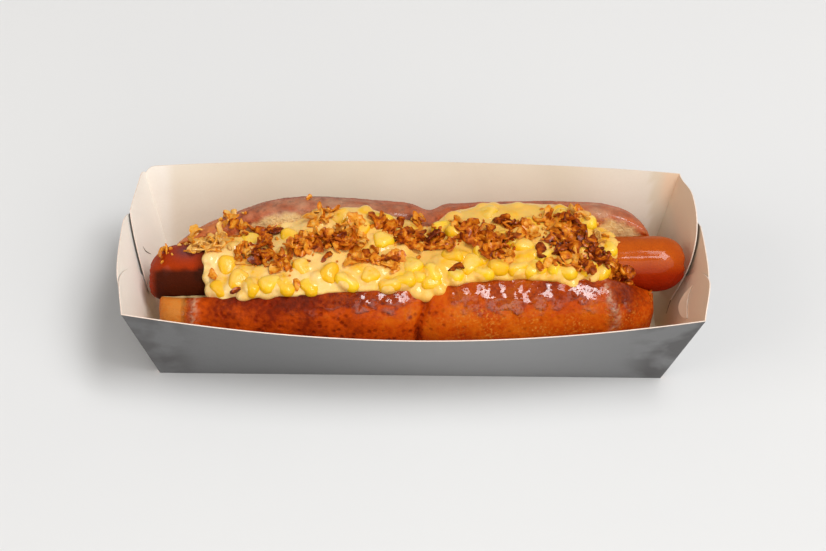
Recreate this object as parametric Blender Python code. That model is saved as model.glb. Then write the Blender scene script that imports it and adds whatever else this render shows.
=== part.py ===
"""A hot dog in its folded card tray.

A split brioche bun holds a thick sausage under cheese sauce with sweetcorn and
crisp fried onion, and stands in an open tray folded from one sheet of card.

Frame: +X along the sausage, +Z up, the origin under the middle of the tray's
base.  The sizes below are in millimetres; MM turns them into metres.
"""

import math
import random

import bmesh
import bpy
from mathutils import Euler, Vector, noise

MM = 0.001
CLEARANCE = 0.65                # between the filling and what carries it
STATION_STEP = 6.0              # spacing of the cross sections of bun and sauce
STATION_MARGIN = 0.3            # least gap, of a step, to the closer sections at the ends
TRAY_SMOOTH_ANGLE = 30
FOOD_SMOOTH_ANGLE = 50
TOPPING_SMOOTH_ANGLE = 35

# ---- Tray: one folded sheet ------------------------------------------------
CARD = 0.45                     # thickness of the card
LAYER_PITCH = 0.85              # spacing of the card layers at the two ends
BASE_HALF_LENGTH = 104.8
BASE_HALF_WIDTH = 31.5
RIM_HALF_LENGTH = 116.0
RIM_HALF_WIDTH = 43.8
RIM_HEIGHT = 47.5               # at the corners
SIDE_BOW = 9.4                  # the long walls swell outwards at mid length
END_BOW = 2.6                   # the ends swell outwards
END_BOW_SKEW = 0.35
BASE_STRIP = 4.0                # a strip of the base along each long fold
SIDES = (-1, 1)                 # front and back
ENDS = (-1, 1)                  # left and right
SIDE_LAYER = {-1: 0, 1: -1}     # the back tabs lie inside the front ones
# The petal tab at each end of each long wall: its greatest height, the y where its
# top edge turns down and the y of its tip, the roundness of that turn, and the
# heights of the tip's upper and lower corner.
TABS = {(-1, -1): (49.2, -27.0, -1.0, 1.5, 23.4, 17.0), (-1, 1): (49.4, 14.0, -5.0, 1.2, 21.5, 19.6),
        (1, -1): (52.0, -27.0, -1.0, 1.5, 23.4, 17.0), (1, 1): (52.6, 24.0, -5.0, 2.5, 27.0, 19.6)}
PANEL_LAYER = 1                 # the end panels, folded up from the base, lie outside
PANEL_HEIGHT = 50.0
PANEL_INSET = 1.5               # the end panel is narrower than the base
PANEL_SHOULDER = 0.78           # its half width at the top, of the rim's
PANEL_CORNER_DROP = 0.22        # its top corners are rounded off by this share ...
PANEL_CORNER_POWER = 7          # ... close to the edges
PANEL_BACK_DROP = 0.42          # the back half of its top slopes down as well ...
PANEL_BACK_FROM = 0.22          # ... from this share of its half width
PANEL_BACK_POWER = 1.5
FOLD_ROW = 0.07                 # the tabs start this far up the walls
WALL_ROWS = (0.0, FOLD_ROW, 0.3, 0.54, 0.78, 1.0)
WALL_COLUMNS = 16
TAB_COLUMNS = 8
PANEL_COLUMNS = 8

# ---- Sausage ---------------------------------------------------------------
SAUSAGE_RADIUS = 11.6
SAUSAGE_LEFT = -109.8
SAUSAGE_RIGHT = 113.8
SAUSAGE_CAP = 13.0              # length of each rounded end
SAUSAGE_CAP_POWER = 2.3
DROOP_FROM = -94.0              # left of here the sausage's tip bends down ...
DROOP = 3.6                     # ... by this much at its end
AXIS_Y = -4.75                  # the sausage's axis at x = 0 ...
AXIS_Y_SLOPE = 0.0265           # ... which runs a little askew in the tray
AXIS_Z = 36.65
AXIS_Z_SLOPE = 0.016
SAUSAGE_SIDES = 20
CAP_STEPS = (0.004, 0.04, 0.12, 0.25, 0.42, 0.62, 0.82, 1.0)
MIDDLE_STEPS = 8
CHANNEL_HEIGHT = 40.0           # the cutter for the split reaches this far over the axis
CHANNEL_OVERRUN = 10.0          # and past both ends
CHANNEL_SIDES = 12

# ---- Bun -------------------------------------------------------------------
BUN_LEFT = -103.6
BUN_RIGHT = 100.5
BUN_FLOOR = 0.9                 # stands on the card with a small gap
BUN_WIDEST_HEIGHT = 31.0
BUN_FOOT_HALF_WIDTH = 18.0      # of the flat that it rests on
# One row for each station: x, and the crest's distance from the sausage's axis
# and height, then the half width of that side.
FRONT_LIP = ((-103, 21.5, 39.5, 30.5), (-84, 22.3, 41.5, 32.0), (-62, 22.6, 44.6, 33.8),
             (-30, 21.3, 46.8, 35.4), (8, 18.0, 48.0, 35.0), (50, 16.4, 48.2, 34.0),
             (70, 16.8, 47.8, 33.3), (80, 16.8, 46.4, 33.0), (89, 17.0, 43.6, 32.6),
             (96, 17.0, 39.0, 32.0), (101, 17.0, 35.0, 31.5))
BACK_LIP = ((-103, 20.0, 50.0, 38.0), (-78, 20.6, 52.0, 39.3), (-62, 21.3, 54.2, 41.0),
            (-46, 21.5, 54.2, 40.8), (-28, 21.2, 51.8, 39.4), (-11, 20.7, 49.6, 38.2),
            (2, 20.5, 48.0, 37.4), (14, 20.3, 48.9, 37.5), (40, 20.0, 49.4, 37.4),
            (60, 19.7, 50.6, 38.0), (75, 19.5, 52.0, 38.5), (92, 18.8, 52.5, 38.6),
            (101, 18.0, 52.0, 37.5))
FRONT_UPPER_POWER = 1.8
BACK_UPPER_POWER = 2.0
LOWER_POWER = 1.7
# How each end closes: power of the rounding, large where the end is blunt.
ROUNDING = {("front", "left"): 9.0, ("back", "left"): 2.5,
            ("front", "right"): 6.0, ("back", "right"): 4.6}
FRONT_CENTRE_HEIGHT = 25.0      # the ends shrink towards these heights
BACK_CENTRE_HEIGHT = 33.0
# The crease between the bun's two lobes: x, share of the section and half width.
CREASE = {"front": (3.0, 0.075, 5.0), "back": (7.0, 0.10, 5.0)}
INNER_SHARES = (0.0, 0.3, 0.6, 0.85)   # points of a section on the split's side wall ...
UPPER_STEPS = 6                 # ... over the lip ...
LOWER_STEPS = 5                 # ... and down to the foot
SPLIT_FOOT_DROP = 1.5           # the split's side walls start this far under the axis
BUN_END_STEPS = (0.4, 1.2, 2.8, 5.5)   # distance of the last sections from each end

# ---- Filling ---------------------------------------------------------------
SAUCE_LEFT = -86.0
SAUCE_RIGHT = 83.0
SAUCE_END_POWER = 5.0
SAUCE_CROWN = 4.2
SAUCE_EDGE = 1.2                # thickness near the lips
SAUCE_LEAST = 0.15
SAUCE_CROWN_POWER = 2.6
SAUCE_CROWN_ROUNDNESS = 0.5
SAUCE_EDGE_LIFT = 0.4           # share of the edge's thickness that lifts the whole top
SAUCE_LUMP = 0.7                # height of its slow unevenness ...
SAUCE_LUMP_LENGTH = (13.0, 11.0)    # ... and its length along and across
SAUCE_LUMP_SEED = 3.0
# How far the sauce hangs past the crest of the front lip, and past the back one.
SAUCE_LIP_OVERHANG = ((-86, 0.5), (-62, 2.4), (-30, 2.6), (5, 5.0), (20, 3.0), (42, 2.2),
                      (64, 4.2), (74, 2.2), (83, 0.5))
SAUCE_BACK_OVERHANG = ((-86, -1.5), (-66, -3.2), (-46, -3.0), (-31, -0.8), (-20, -0.5),
                       (5, -2.0), (20, 3.5), (34, 5.5), (56, 5.5), (68, 2.5), (83, -0.5))
FRONT_EDGE_SHARES = (0.0, 0.4, 0.75, 1.0)    # points from the front edge to the crest ...
FRONT_LIP_SHARES = (0.25, 0.5, 0.75)         # ... from there to the sausage ...
SAUSAGE_POINTS = 4                           # ... over each half of the sausage ...
BACK_LIP_SHARES = (0.35, 0.7, 1.0)           # ... from it to the crest of the back lip ...
BACK_EDGE_SHARES = (0.35, 0.7, 1.0)          # ... and from there to the back edge
BACK_CREST_PLACES = (0.35, 0.85)             # limits of the crest's place on the way
SAUCE_END_STEPS = (0.3, 1.0, 2.6)
CREVICE_HEIGHT = 5.0            # the sauce bridges the crevice this far over the axis
KERNEL_HALF_SIZE = (4.1, 3.5, 2.7)
KERNEL_RINGS = ((-0.62, 0.74), (0.0, 1.0), (0.62, 0.78))    # height and width, of the half sizes
KERNEL_SIDES = 6
KERNEL_TAPER = 0.22
KERNEL_LIFT = 0.5               # its centre stands this far over the sauce
KERNEL_LEAN = (0.35, 0.3)
KERNEL_PLACES_ACROSS = (0.06, 0.93)
# Corn kernels that show: x, and the place across from the front lip to the back.
KERNELS = ((-77, 0.10), (-73, 0.24), (-59, 0.20), (-54, 0.21), (-40, 0.20), (-33, 0.34),
           (-33, 0.07), (-26, 0.16), (-17, 0.31), (-9, 0.12), (-1, 0.18), (5, 0.20),
           (-12, 0.74), (-13, 0.96), (-20, 0.84), (-33, 0.96), (4, 0.42), (9, 0.52),
           (7, 0.18), (13, 0.86), (19, 0.78), (18, 0.55), (28, 0.56), (17, 0.20),
           (28, 0.24), (41, 0.44), (46, 0.62), (62, 0.28), (72, 0.84), (75, 0.26),
           (78, 0.76), (79, 0.46))
FLAKE_LENGTHS = (4.0, 9.0)
FLAKE_WIDTHS = (2.0, 4.2)
FLAKE_THICKNESS = 0.9
FLAKE_CURLS = (0.6, 2.2)
FLAKE_TWIST = 0.8
FLAKE_TAPER = 1.4
FLAKE_LIFTS = (0.3, 1.3)
FLAKE_LEAN = (0.7, 0.6)
FLAKE_SPREAD = 0.6              # share of a clump's size that is one standard deviation
FLAKE_PLACES_ACROSS = (0.1, 0.9)
FLAKE_MARGIN = 4.0              # from the sauce's two ends
# Clumps of fried onion: x, place across, spread along and across, how many.
ONION_CLUMPS = ((-78, 0.50, 5, 0.12, 6), (-66, 0.56, 6, 0.12, 5), (-58, 0.42, 6, 0.10, 4),
                (-38, 0.70, 9, 0.16, 8), (-14, 0.62, 8, 0.12, 5), (2, 0.72, 9, 0.14, 8),
                (32, 0.74, 9, 0.15, 8), (66, 0.62, 9, 0.16, 8), (76, 0.36, 4, 0.10, 3),
                (18, 0.34, 4, 0.04, 1), (54, 0.48, 4, 0.12, 2))
PIECE_CLEARANCE = 0.5           # room under corn and onion, whose sides are straight
SEED = 11


# ---- Small helpers ---------------------------------------------------------
def lerp(a, b, t):
    return a + (b - a) * t


def clamp(value, low, high):
    return min(high, max(low, value))


def smoothstep(t):
    t = clamp(t, 0.0, 1.0)
    return t * t * (3.0 - 2.0 * t)


def along(rows, x, column=1):
    """Smooth value of a column at x, from rows that start with their x."""
    last = len(rows) - 2
    i = next((k for k in range(last + 1) if x < rows[k + 1][0]), last)
    x0, x1 = rows[i][0], rows[i + 1][0]

    def slope(k):
        lo, hi = max(0, k - 1), min(len(rows) - 1, k + 1)
        return (rows[hi][column] - rows[lo][column]) / (rows[hi][0] - rows[lo][0])

    span = x1 - x0
    t = clamp((x - x0) / span, 0.0, 1.0)
    a, b = rows[i][column], rows[i + 1][column]
    return ((2 * t**3 - 3 * t**2 + 1) * a + (t**3 - 2 * t**2 + t) * span * slope(i)
            + (3 * t**2 - 2 * t**3) * b + (t**3 - t**2) * span * slope(i + 1))


def new_material(name, colour, roughness, coat=0.0):
    material = bpy.data.materials.new(name)
    material.use_nodes = True
    shader = material.node_tree.nodes["Principled BSDF"]
    shader.inputs["Base Color"].default_value = (*colour, 1.0)
    shader.inputs["Roughness"].default_value = roughness
    shader.inputs["Metallic"].default_value = 0.0
    shader.inputs["Coat Weight"].default_value = coat
    return material


def add_object(name, bm, material=None):
    """Turn a bmesh in millimetres into a named object in metres."""
    bmesh.ops.scale(bm, vec=(MM, MM, MM), verts=bm.verts)
    mesh = bpy.data.meshes.new(name)
    bm.to_mesh(mesh)
    bm.free()
    obj = bpy.data.objects.new(name, mesh)
    bpy.context.scene.collection.objects.link(obj)
    if material:
        mesh.materials.append(material)
    return obj


def shade(obj, smooth_angle):
    """Shade smooth, with sharp edges where faces meet at more than an angle."""
    obj.data.shade_smooth()
    obj.data.set_sharp_from_angle(angle=math.radians(smooth_angle))


def bake_modifiers(obj):
    """Replace the object's mesh by what its modifiers make of it."""
    bpy.context.view_layer.update()
    evaluated = obj.evaluated_get(bpy.context.evaluated_depsgraph_get())
    baked = bpy.data.meshes.new_from_object(evaluated)
    obj.modifiers.clear()
    obj.data = baked


def loft(sections):
    """Close a run of equal rings of points into one solid."""
    bm = bmesh.new()
    rings = [[bm.verts.new(point) for point in section] for section in sections]
    count = len(rings[0])
    for near, far in zip(rings, rings[1:]):
        for j in range(count):
            k = (j + 1) % count
            bm.faces.new((near[j], near[k], far[k], far[j]))
    bm.faces.new(rings[0][::-1])
    bm.faces.new(rings[-1])
    bmesh.ops.recalc_face_normals(bm, faces=bm.faces)
    return bm


def stations(left, right, end_steps):
    """Places of the cross sections: an even grid, and closer steps at the ends."""
    near = [left + step for step in end_steps]
    far = [right - step for step in reversed(end_steps)]
    margin = STATION_MARGIN * STATION_STEP
    first = math.ceil((near[-1] + margin) / STATION_STEP)
    last = math.floor((far[0] - margin) / STATION_STEP)
    return near + [STATION_STEP * k for k in range(first, last + 1)] + far


# ---- Tray ------------------------------------------------------------------
WALL_RUN = RIM_HALF_WIDTH - BASE_HALF_WIDTH
WALL_SLANT = math.hypot(WALL_RUN, RIM_HEIGHT)
END_LEAN = (RIM_HALF_LENGTH - BASE_HALF_LENGTH) / RIM_HEIGHT


def wall_point(side, layer, s, t):
    """Point of a long wall: s runs from -1 to 1 along it and t up from its fold."""
    run = WALL_RUN + SIDE_BOW * (1.0 - s * s)
    rise = math.sqrt(WALL_SLANT**2 - run**2)
    x = s * (BASE_HALF_LENGTH + layer * LAYER_PITCH + END_LEAN * RIM_HEIGHT * t)
    return Vector((x, side * (BASE_HALF_WIDTH + run * t), CARD / 2 + rise * t))


def end_point(end, layer, y, height):
    """Point of a layer of card at an end of the tray."""
    across = clamp(y / (BASE_HALF_WIDTH + WALL_RUN * height / RIM_HEIGHT), -1.0, 1.0)
    bow = END_BOW * height / RIM_HEIGHT * (1.0 - across**2) * (1.0 - END_BOW_SKEW * across)
    x = BASE_HALF_LENGTH + layer * LAYER_PITCH + END_LEAN * height + bow
    return Vector((end * x, y, CARD / 2 + height))


def tab_edges(end, side, c):
    """Lower and upper edge of a petal tab at c, from its fold (0) to its tip (1)."""
    height, turn_y, tip_y, power, tip_top, tip_foot = TABS[end, side]
    hinge = side * RIM_HALF_WIDTH
    turn = (turn_y - hinge) / (tip_y - hinge)
    low = lerp(FOLD_ROW * RIM_HEIGHT, tip_foot, c)
    if c <= turn:
        return low, lerp(RIM_HEIGHT, height, smoothstep(c / turn))
    fall = 1.0 - (1.0 - ((c - turn) / (1.0 - turn))**power)**(1 / power)
    return low, lerp(height, tip_top, fall)


def panel_top(v):
    """Height of an end panel at v, from its front edge (-1) to its back edge (1)."""
    corner = PANEL_CORNER_DROP * abs(v)**PANEL_CORNER_POWER
    slope = max(0.0, v - PANEL_BACK_FROM) / (1.0 - PANEL_BACK_FROM)
    return PANEL_HEIGHT * (1.0 - corner) * (1.0 - PANEL_BACK_DROP * slope**PANEL_BACK_POWER)


def add_grid(bm, rows):
    """Join rows of equally many points by quads."""
    for near, far in zip(rows, rows[1:]):
        for i in range(len(near) - 1):
            bm.faces.new((near[i], near[i + 1], far[i + 1], far[i]))


def add_tab(bm, end, side, hinge_verts):
    """A petal tab folded in from the end of a long wall, which gives hinge_verts."""
    tip_y = TABS[end, side][2]
    columns = [hinge_verts]
    for i in range(1, TAB_COLUMNS + 1):
        c = math.sin(math.pi / 2 * i / TAB_COLUMNS)
        low, high = tab_edges(end, side, c)
        column = []
        for t in WALL_ROWS[1:]:
            hinge_y = side * (BASE_HALF_WIDTH + WALL_RUN * t)
            height = lerp(low, high, (t - FOLD_ROW) / (1.0 - FOLD_ROW))
            point = end_point(end, SIDE_LAYER[side], lerp(hinge_y, tip_y, c), height)
            column.append(bm.verts.new(point))
        columns.append(column)
    add_grid(bm, columns)


def add_end_panel(bm, end, edge):
    """Join the base's end edge, four points from front to back, to the end panel."""
    grid = []
    for t in WALL_ROWS[:1] + WALL_ROWS[2:]:
        half = lerp(BASE_HALF_WIDTH - PANEL_INSET, PANEL_SHOULDER * RIM_HALF_WIDTH, t)
        places = [-1.0 + 2.0 * i / PANEL_COLUMNS for i in range(PANEL_COLUMNS + 1)]
        grid.append([bm.verts.new(end_point(end, PANEL_LAYER, v * half, panel_top(v) * t))
                     for v in places])
    add_grid(bm, grid)
    bm.faces.new(edge + grid[0][::-1])


def build_tray(material):
    """The card as one bent sheet, which is then given its thickness."""
    bm = bmesh.new()
    walls = {}
    for side in SIDES:
        walls[side] = [[bm.verts.new(wall_point(side, SIDE_LAYER[side], 2 * i / WALL_COLUMNS - 1, t))
                        for i in range(WALL_COLUMNS + 1)] for t in WALL_ROWS]
        add_grid(bm, walls[side])
    inset = BASE_HALF_WIDTH - BASE_STRIP
    middle = [[bm.verts.new((v.co.x, side * inset, CARD / 2)) for v in walls[side][0]]
              for side in SIDES]
    strips = [walls[-1][0]] + middle + [walls[1][0]]
    add_grid(bm, strips)
    for end, index in zip(ENDS, (0, WALL_COLUMNS)):
        for side in SIDES:
            add_tab(bm, end, side, [row[index] for row in walls[side][1:]])
        add_end_panel(bm, end, [strip[index] for strip in strips])
    bmesh.ops.recalc_face_normals(bm, faces=bm.faces)
    tray = add_object("tray", bm, material)
    solid = tray.modifiers.new("card", "SOLIDIFY")
    solid.thickness = CARD * MM
    solid.offset = 0.0
    solid.use_even_offset = True
    solid.use_quality_normals = True
    bake_modifiers(tray)
    shade(tray, TRAY_SMOOTH_ANGLE)
    return tray


# ---- Sausage ---------------------------------------------------------------
def axis(x):
    """Place of the sausage's axis at x, without its tip's bend: y and z."""
    return AXIS_Y + AXIS_Y_SLOPE * x, AXIS_Z + AXIS_Z_SLOPE * x


def droop(x):
    """How far the sausage's left tip has bent down at x."""
    past = max(0.0, DROOP_FROM - x) / (DROOP_FROM - SAUSAGE_LEFT)
    return DROOP * past**2


def sausage_radius(x):
    cap = min(x - SAUSAGE_LEFT, SAUSAGE_RIGHT - x) / SAUSAGE_CAP
    if cap >= 1.0:
        return SAUSAGE_RADIUS
    cap = max(0.0, cap)
    return SAUSAGE_RADIUS * (1.0 - (1.0 - cap)**SAUSAGE_CAP_POWER)**(1 / SAUSAGE_CAP_POWER)


def build_sausage(material):
    places = [SAUSAGE_LEFT + SAUSAGE_CAP * c for c in CAP_STEPS]
    start, stop = places[-1], SAUSAGE_RIGHT - SAUSAGE_CAP
    places += [lerp(start, stop, i / MIDDLE_STEPS) for i in range(1, MIDDLE_STEPS)]
    places += [SAUSAGE_RIGHT - SAUSAGE_CAP * c for c in reversed(CAP_STEPS)]
    turns = [2 * math.pi * j / SAUSAGE_SIDES for j in range(SAUSAGE_SIDES)]
    sections = []
    for x in places:
        y, z = axis(x)
        r = sausage_radius(x)
        sections.append([(x, y + r * math.cos(a), z - droop(x) + r * math.sin(a))
                         for a in turns])
    sausage = add_object("sausage", loft(sections), material)
    shade(sausage, FOOD_SMOOTH_ANGLE)
    return sausage


# ---- Bun -------------------------------------------------------------------
def end_scale(side, x):
    """How much of its full section one side of the bun keeps at x."""
    end, limit = ("left", BUN_LEFT) if x < 0 else ("right", BUN_RIGHT)
    power = ROUNDING[side, end]
    scale = max(0.0, 1.0 - min(1.0, x / limit)**power)**(1 / power)
    crease, depth, width = CREASE[side]
    return scale * (1.0 - depth * math.exp(-((x - crease) / width)**2))


def scaled_point(x, across, height):
    """Place a point of the full section, given from the axis, at the station x."""
    weight = smoothstep(0.5 + across / (2 * SAUSAGE_RADIUS))
    scale = lerp(end_scale("front", x), end_scale("back", x), weight)
    centre = lerp(FRONT_CENTRE_HEIGHT, BACK_CENTRE_HEIGHT, weight)
    return x, axis(x)[0] + scale * across, centre + scale * (height - centre)


def inner_wall_height(x, crest, crest_height, across):
    """Height of the split's side wall, which falls from the crest to the channel."""
    foot = axis(x)[1] - SPLIT_FOOT_DROP
    start = SAUSAGE_RADIUS + CLEARANCE
    return lerp(foot, crest_height, smoothstep((across - start) / (crest - start)))


def side_profile(x, rows, upper_power):
    """Half a section, from the split out over the lip and down to the foot."""
    crest, crest_height, half_width = (along(rows, x, column) for column in (1, 2, 3))
    points = []
    for share in INNER_SHARES:
        across = lerp(SAUSAGE_RADIUS + CLEARANCE, crest, share)
        points.append((across, inner_wall_height(x, crest, crest_height, across)))
    for i in range(UPPER_STEPS + 1):
        turn = math.pi / 2 * i / UPPER_STEPS
        out = math.sin(turn)**(2 / upper_power)
        up = math.cos(turn)**(2 / upper_power)
        points.append((lerp(crest, half_width, out),
                       lerp(BUN_WIDEST_HEIGHT, crest_height, up)))
    for i in range(1, LOWER_STEPS + 1):
        turn = math.pi / 2 * i / LOWER_STEPS
        out = math.cos(turn)**(2 / LOWER_POWER)
        down = math.sin(turn)**(2 / LOWER_POWER)
        points.append((lerp(BUN_FOOT_HALF_WIDTH, half_width, out),
                       lerp(BUN_WIDEST_HEIGHT, BUN_FLOOR, down)))
    return points


def bun_height(x, y, clearance):
    """Height of the bun's upper surface outside the channel, with room left over it."""
    across = y - axis(x)[0]
    front = across < 0
    rows, power = (FRONT_LIP, FRONT_UPPER_POWER) if front else (BACK_LIP, BACK_UPPER_POWER)
    scale = end_scale("front" if front else "back", x)
    centre = FRONT_CENTRE_HEIGHT if front else BACK_CENTRE_HEIGHT
    if scale <= 0.0 or abs(across) < SAUSAGE_RADIUS:
        return -math.inf
    across = abs(across) / scale
    crest, crest_height, half_width = (along(rows, x, column) for column in (1, 2, 3))
    crest_height += clearance
    half_width += clearance
    if across >= half_width:
        return -math.inf
    if across < crest:
        height = inner_wall_height(x, crest, crest_height, across + clearance)
    else:
        out = (across - crest) / (half_width - crest)
        height = lerp(BUN_WIDEST_HEIGHT, crest_height, (1.0 - out**power)**(1 / power))
    return centre + scale * (height - centre)


def build_channel():
    """The trough for the sausage: a half round with upright sides."""
    radius = SAUSAGE_RADIUS + CLEARANCE
    sections = []
    for x in (SAUSAGE_LEFT - CHANNEL_OVERRUN, 0.0, SAUSAGE_RIGHT + CHANNEL_OVERRUN):
        y, z = axis(x)
        ring = [(x, y + radius, z + CHANNEL_HEIGHT)]
        for j in range(CHANNEL_SIDES + 1):
            turn = math.pi * j / CHANNEL_SIDES
            ring.append((x, y + radius * math.cos(turn), z - radius * math.sin(turn)))
        ring.append((x, y - radius, z + CHANNEL_HEIGHT))
        sections.append(ring)
    return add_object("channel", loft(sections))


def build_bun(material):
    sections = []
    for x in stations(BUN_LEFT, BUN_RIGHT, BUN_END_STEPS):
        front = [(-a, h) for a, h in side_profile(x, FRONT_LIP, FRONT_UPPER_POWER)]
        back = side_profile(x, BACK_LIP, BACK_UPPER_POWER)
        sections.append([scaled_point(x, a, h) for a, h in front[::-1] + back])
    bun = add_object("bun", loft(sections), material)
    channel = build_channel()
    cut = bun.modifiers.new("channel", "BOOLEAN")
    cut.operation = "DIFFERENCE"
    cut.object = channel
    bake_modifiers(bun)
    bpy.data.objects.remove(channel)
    shade(bun, FOOD_SMOOTH_ANGLE)
    return bun


# ---- Filling ---------------------------------------------------------------
def support(x, y):
    """Height of what carries the filling at a place: the bun or the sausage."""
    axis_y, axis_z = axis(x)
    reach = sausage_radius(x) + CLEARANCE
    across = y - axis_y
    sausage = -math.inf
    if abs(across) < reach:
        sausage = axis_z + math.sqrt(reach**2 - across**2)
    trough = axis_z + CREVICE_HEIGHT
    return max(sausage, bun_height(x, y, CLEARANCE), trough)


def sauce_limits(x):
    """Front and back edge of the sauce at x, drawn in at its two ends."""
    middle = (SAUCE_LEFT + SAUCE_RIGHT) / 2
    reach = (SAUCE_RIGHT - SAUCE_LEFT) / 2
    u = min(1.0, abs(x - middle) / reach)
    fullness = (1.0 - u**SAUCE_END_POWER)**(1 / SAUCE_END_POWER)
    axis_y = axis(x)[0]
    front = end_scale("front", x) * along(FRONT_LIP, x) + along(SAUCE_LIP_OVERHANG, x)
    back = end_scale("back", x) * along(BACK_LIP, x) + along(SAUCE_BACK_OVERHANG, x)
    return axis_y - front * fullness, axis_y + back * fullness, fullness


def sauce_top(x, v):
    """Point on the sauce's upper surface, v = 0 at its front and 1 at its back edge."""
    front, back, fullness = sauce_limits(x)
    y = lerp(front, back, v)
    edge = SAUCE_EDGE * fullness + SAUCE_LEAST
    bulge = (1.0 - abs(2.0 * v - 1.0)**SAUCE_CROWN_POWER)**SAUCE_CROWN_ROUNDNESS
    crown = SAUCE_CROWN * fullness * bulge
    line = lerp(support(x, front), support(x, back), v) + SAUCE_EDGE_LIFT * edge + crown
    along_lump, across_lump = SAUCE_LUMP_LENGTH
    lumps = SAUCE_LUMP * fullness * noise.noise((x / along_lump, y / across_lump, SAUCE_LUMP_SEED))
    return Vector((x, y, max(line + lumps, support(x, y) + edge)))


def sauce_places(x):
    """Places across the sauce, dense where the lips and the sausage curve."""
    front, back, fullness = sauce_limits(x)
    axis_y = axis(x)[0]
    reach = (SAUSAGE_RADIUS + CLEARANCE) * fullness
    crest = end_scale("front", x) * along(FRONT_LIP, x) * fullness
    offsets = [lerp(front - axis_y, -crest, share) for share in FRONT_EDGE_SHARES]
    offsets += [lerp(-crest, -reach, share) for share in FRONT_LIP_SHARES]
    offsets += [reach * math.sin(math.pi / 2 * k / SAUSAGE_POINTS)
                for k in range(-SAUSAGE_POINTS, SAUSAGE_POINTS + 1)]
    room = back - axis_y - reach
    crest = end_scale("back", x) * along(BACK_LIP, x) * fullness
    crest = reach + clamp(crest - reach, *(share * room for share in BACK_CREST_PLACES))
    offsets += [lerp(reach, crest, share) for share in BACK_LIP_SHARES]
    offsets += [lerp(crest, back - axis_y, share) for share in BACK_EDGE_SHARES]
    return [(offset + axis_y - front) / (back - front) for offset in offsets]


def sauce_sections():
    """Cross sections of the sauce under its corn and onion."""
    sections = []
    for x in stations(SAUCE_LEFT, SAUCE_RIGHT, SAUCE_END_STEPS):
        top = [sauce_top(x, v) for v in sauce_places(x)]
        bottom = [Vector((x, p.y, support(x, p.y))) for p in top[1:-1]]
        sections.append(top + bottom[::-1])
    return sections


def kernel_points():
    """Points and faces of a corn kernel: a blunt wedge with six sides."""
    half_x, half_y, half_z = KERNEL_HALF_SIZE
    rings = []
    for height, width in KERNEL_RINGS:
        ring = []
        for j in range(KERNEL_SIDES):
            turn = 2 * math.pi * j / KERNEL_SIDES
            taper = 1.0 - KERNEL_TAPER * math.cos(turn)
            ring.append(Vector((half_x * width * math.cos(turn),
                                half_y * width * taper * math.sin(turn), half_z * height)))
        rings.append(ring)
    return [[Vector((0, 0, -half_z))]] + rings + [[Vector((0, 0, half_z))]]


def flake_points(rng):
    """Points of a curled flake of onion: a bent strip, as rings of four."""
    length = rng.uniform(*FLAKE_LENGTHS)
    width = rng.uniform(*FLAKE_WIDTHS)
    curl = rng.uniform(*FLAKE_CURLS)
    twist = rng.uniform(-FLAKE_TWIST, FLAKE_TWIST)
    rings = []
    for i in range(3):
        share = i / 2 - 0.5
        half = width / 2 * (1.0 - FLAKE_TAPER * share**2)
        ring = []
        for j, k in ((-1, -1), (1, -1), (1, 1), (-1, 1)):
            lift = curl * (4 * share**2) + k * FLAKE_THICKNESS / 2
            point = Vector((length * share, j * half, lift))
            point.rotate(Euler((twist * share, 0, 0)))
            ring.append(point)
        rings.append(ring)
    return rings


def add_piece(collection, name, rings, place, turn):
    """Put one piece on the sauce, raised clear of the bun and the sausage."""
    points = [[place + point for point in rotated(ring, turn)] for ring in rings]
    lift = max(support(p.x, p.y) + PIECE_CLEARANCE - p.z for ring in points for p in ring)
    raised = Vector((0, 0, max(0.0, lift)))
    bm = bmesh.new()
    verts = [[bm.verts.new(p + raised) for p in ring] for ring in points]
    for near, far in zip(verts, verts[1:]):
        count = max(len(near), len(far))
        for j in range(count):
            k = (j + 1) % count
            if len(near) == 1:
                bm.faces.new((near[0], far[k], far[j]))
            elif len(far) == 1:
                bm.faces.new((near[j], near[k], far[0]))
            else:
                bm.faces.new((near[j], near[k], far[k], far[j]))
    for ring in (verts[0][::-1], verts[-1]):
        if len(ring) > 2:
            bm.faces.new(ring)
    bmesh.ops.recalc_face_normals(bm, faces=bm.faces)
    piece = add_object(name, bm)
    bpy.context.scene.collection.objects.unlink(piece)
    collection.objects.link(piece)


def rotated(points, turn):
    matrix = turn.to_matrix()
    return [matrix @ point for point in points]


def random_turn(rng, lean):
    """Any direction in plan, leaning by up to the two angles."""
    roll, pitch = (rng.uniform(-most, most) for most in lean)
    return Euler((roll, pitch, rng.uniform(0, 2 * math.pi)))


def add_kernels(collection, rng):
    for index, (x, v) in enumerate(KERNELS):
        place = sauce_top(x, clamp(v, *KERNEL_PLACES_ACROSS)) + Vector((0, 0, KERNEL_LIFT))
        turn = random_turn(rng, KERNEL_LEAN)
        add_piece(collection, f"kernel_{index}", kernel_points(), place, turn)


def add_flakes(collection, rng):
    index = 0
    for x, v, spread_x, spread_v, count in ONION_CLUMPS:
        for _ in range(count):
            fx = clamp(rng.gauss(x, FLAKE_SPREAD * spread_x),
                       SAUCE_LEFT + FLAKE_MARGIN, SAUCE_RIGHT - FLAKE_MARGIN)
            fv = clamp(rng.gauss(v, FLAKE_SPREAD * spread_v), *FLAKE_PLACES_ACROSS)
            place = sauce_top(fx, fv) + Vector((0, 0, rng.uniform(*FLAKE_LIFTS)))
            turn = random_turn(rng, FLAKE_LEAN)
            add_piece(collection, f"flake_{index}", flake_points(rng), place, turn)
            index += 1


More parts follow.
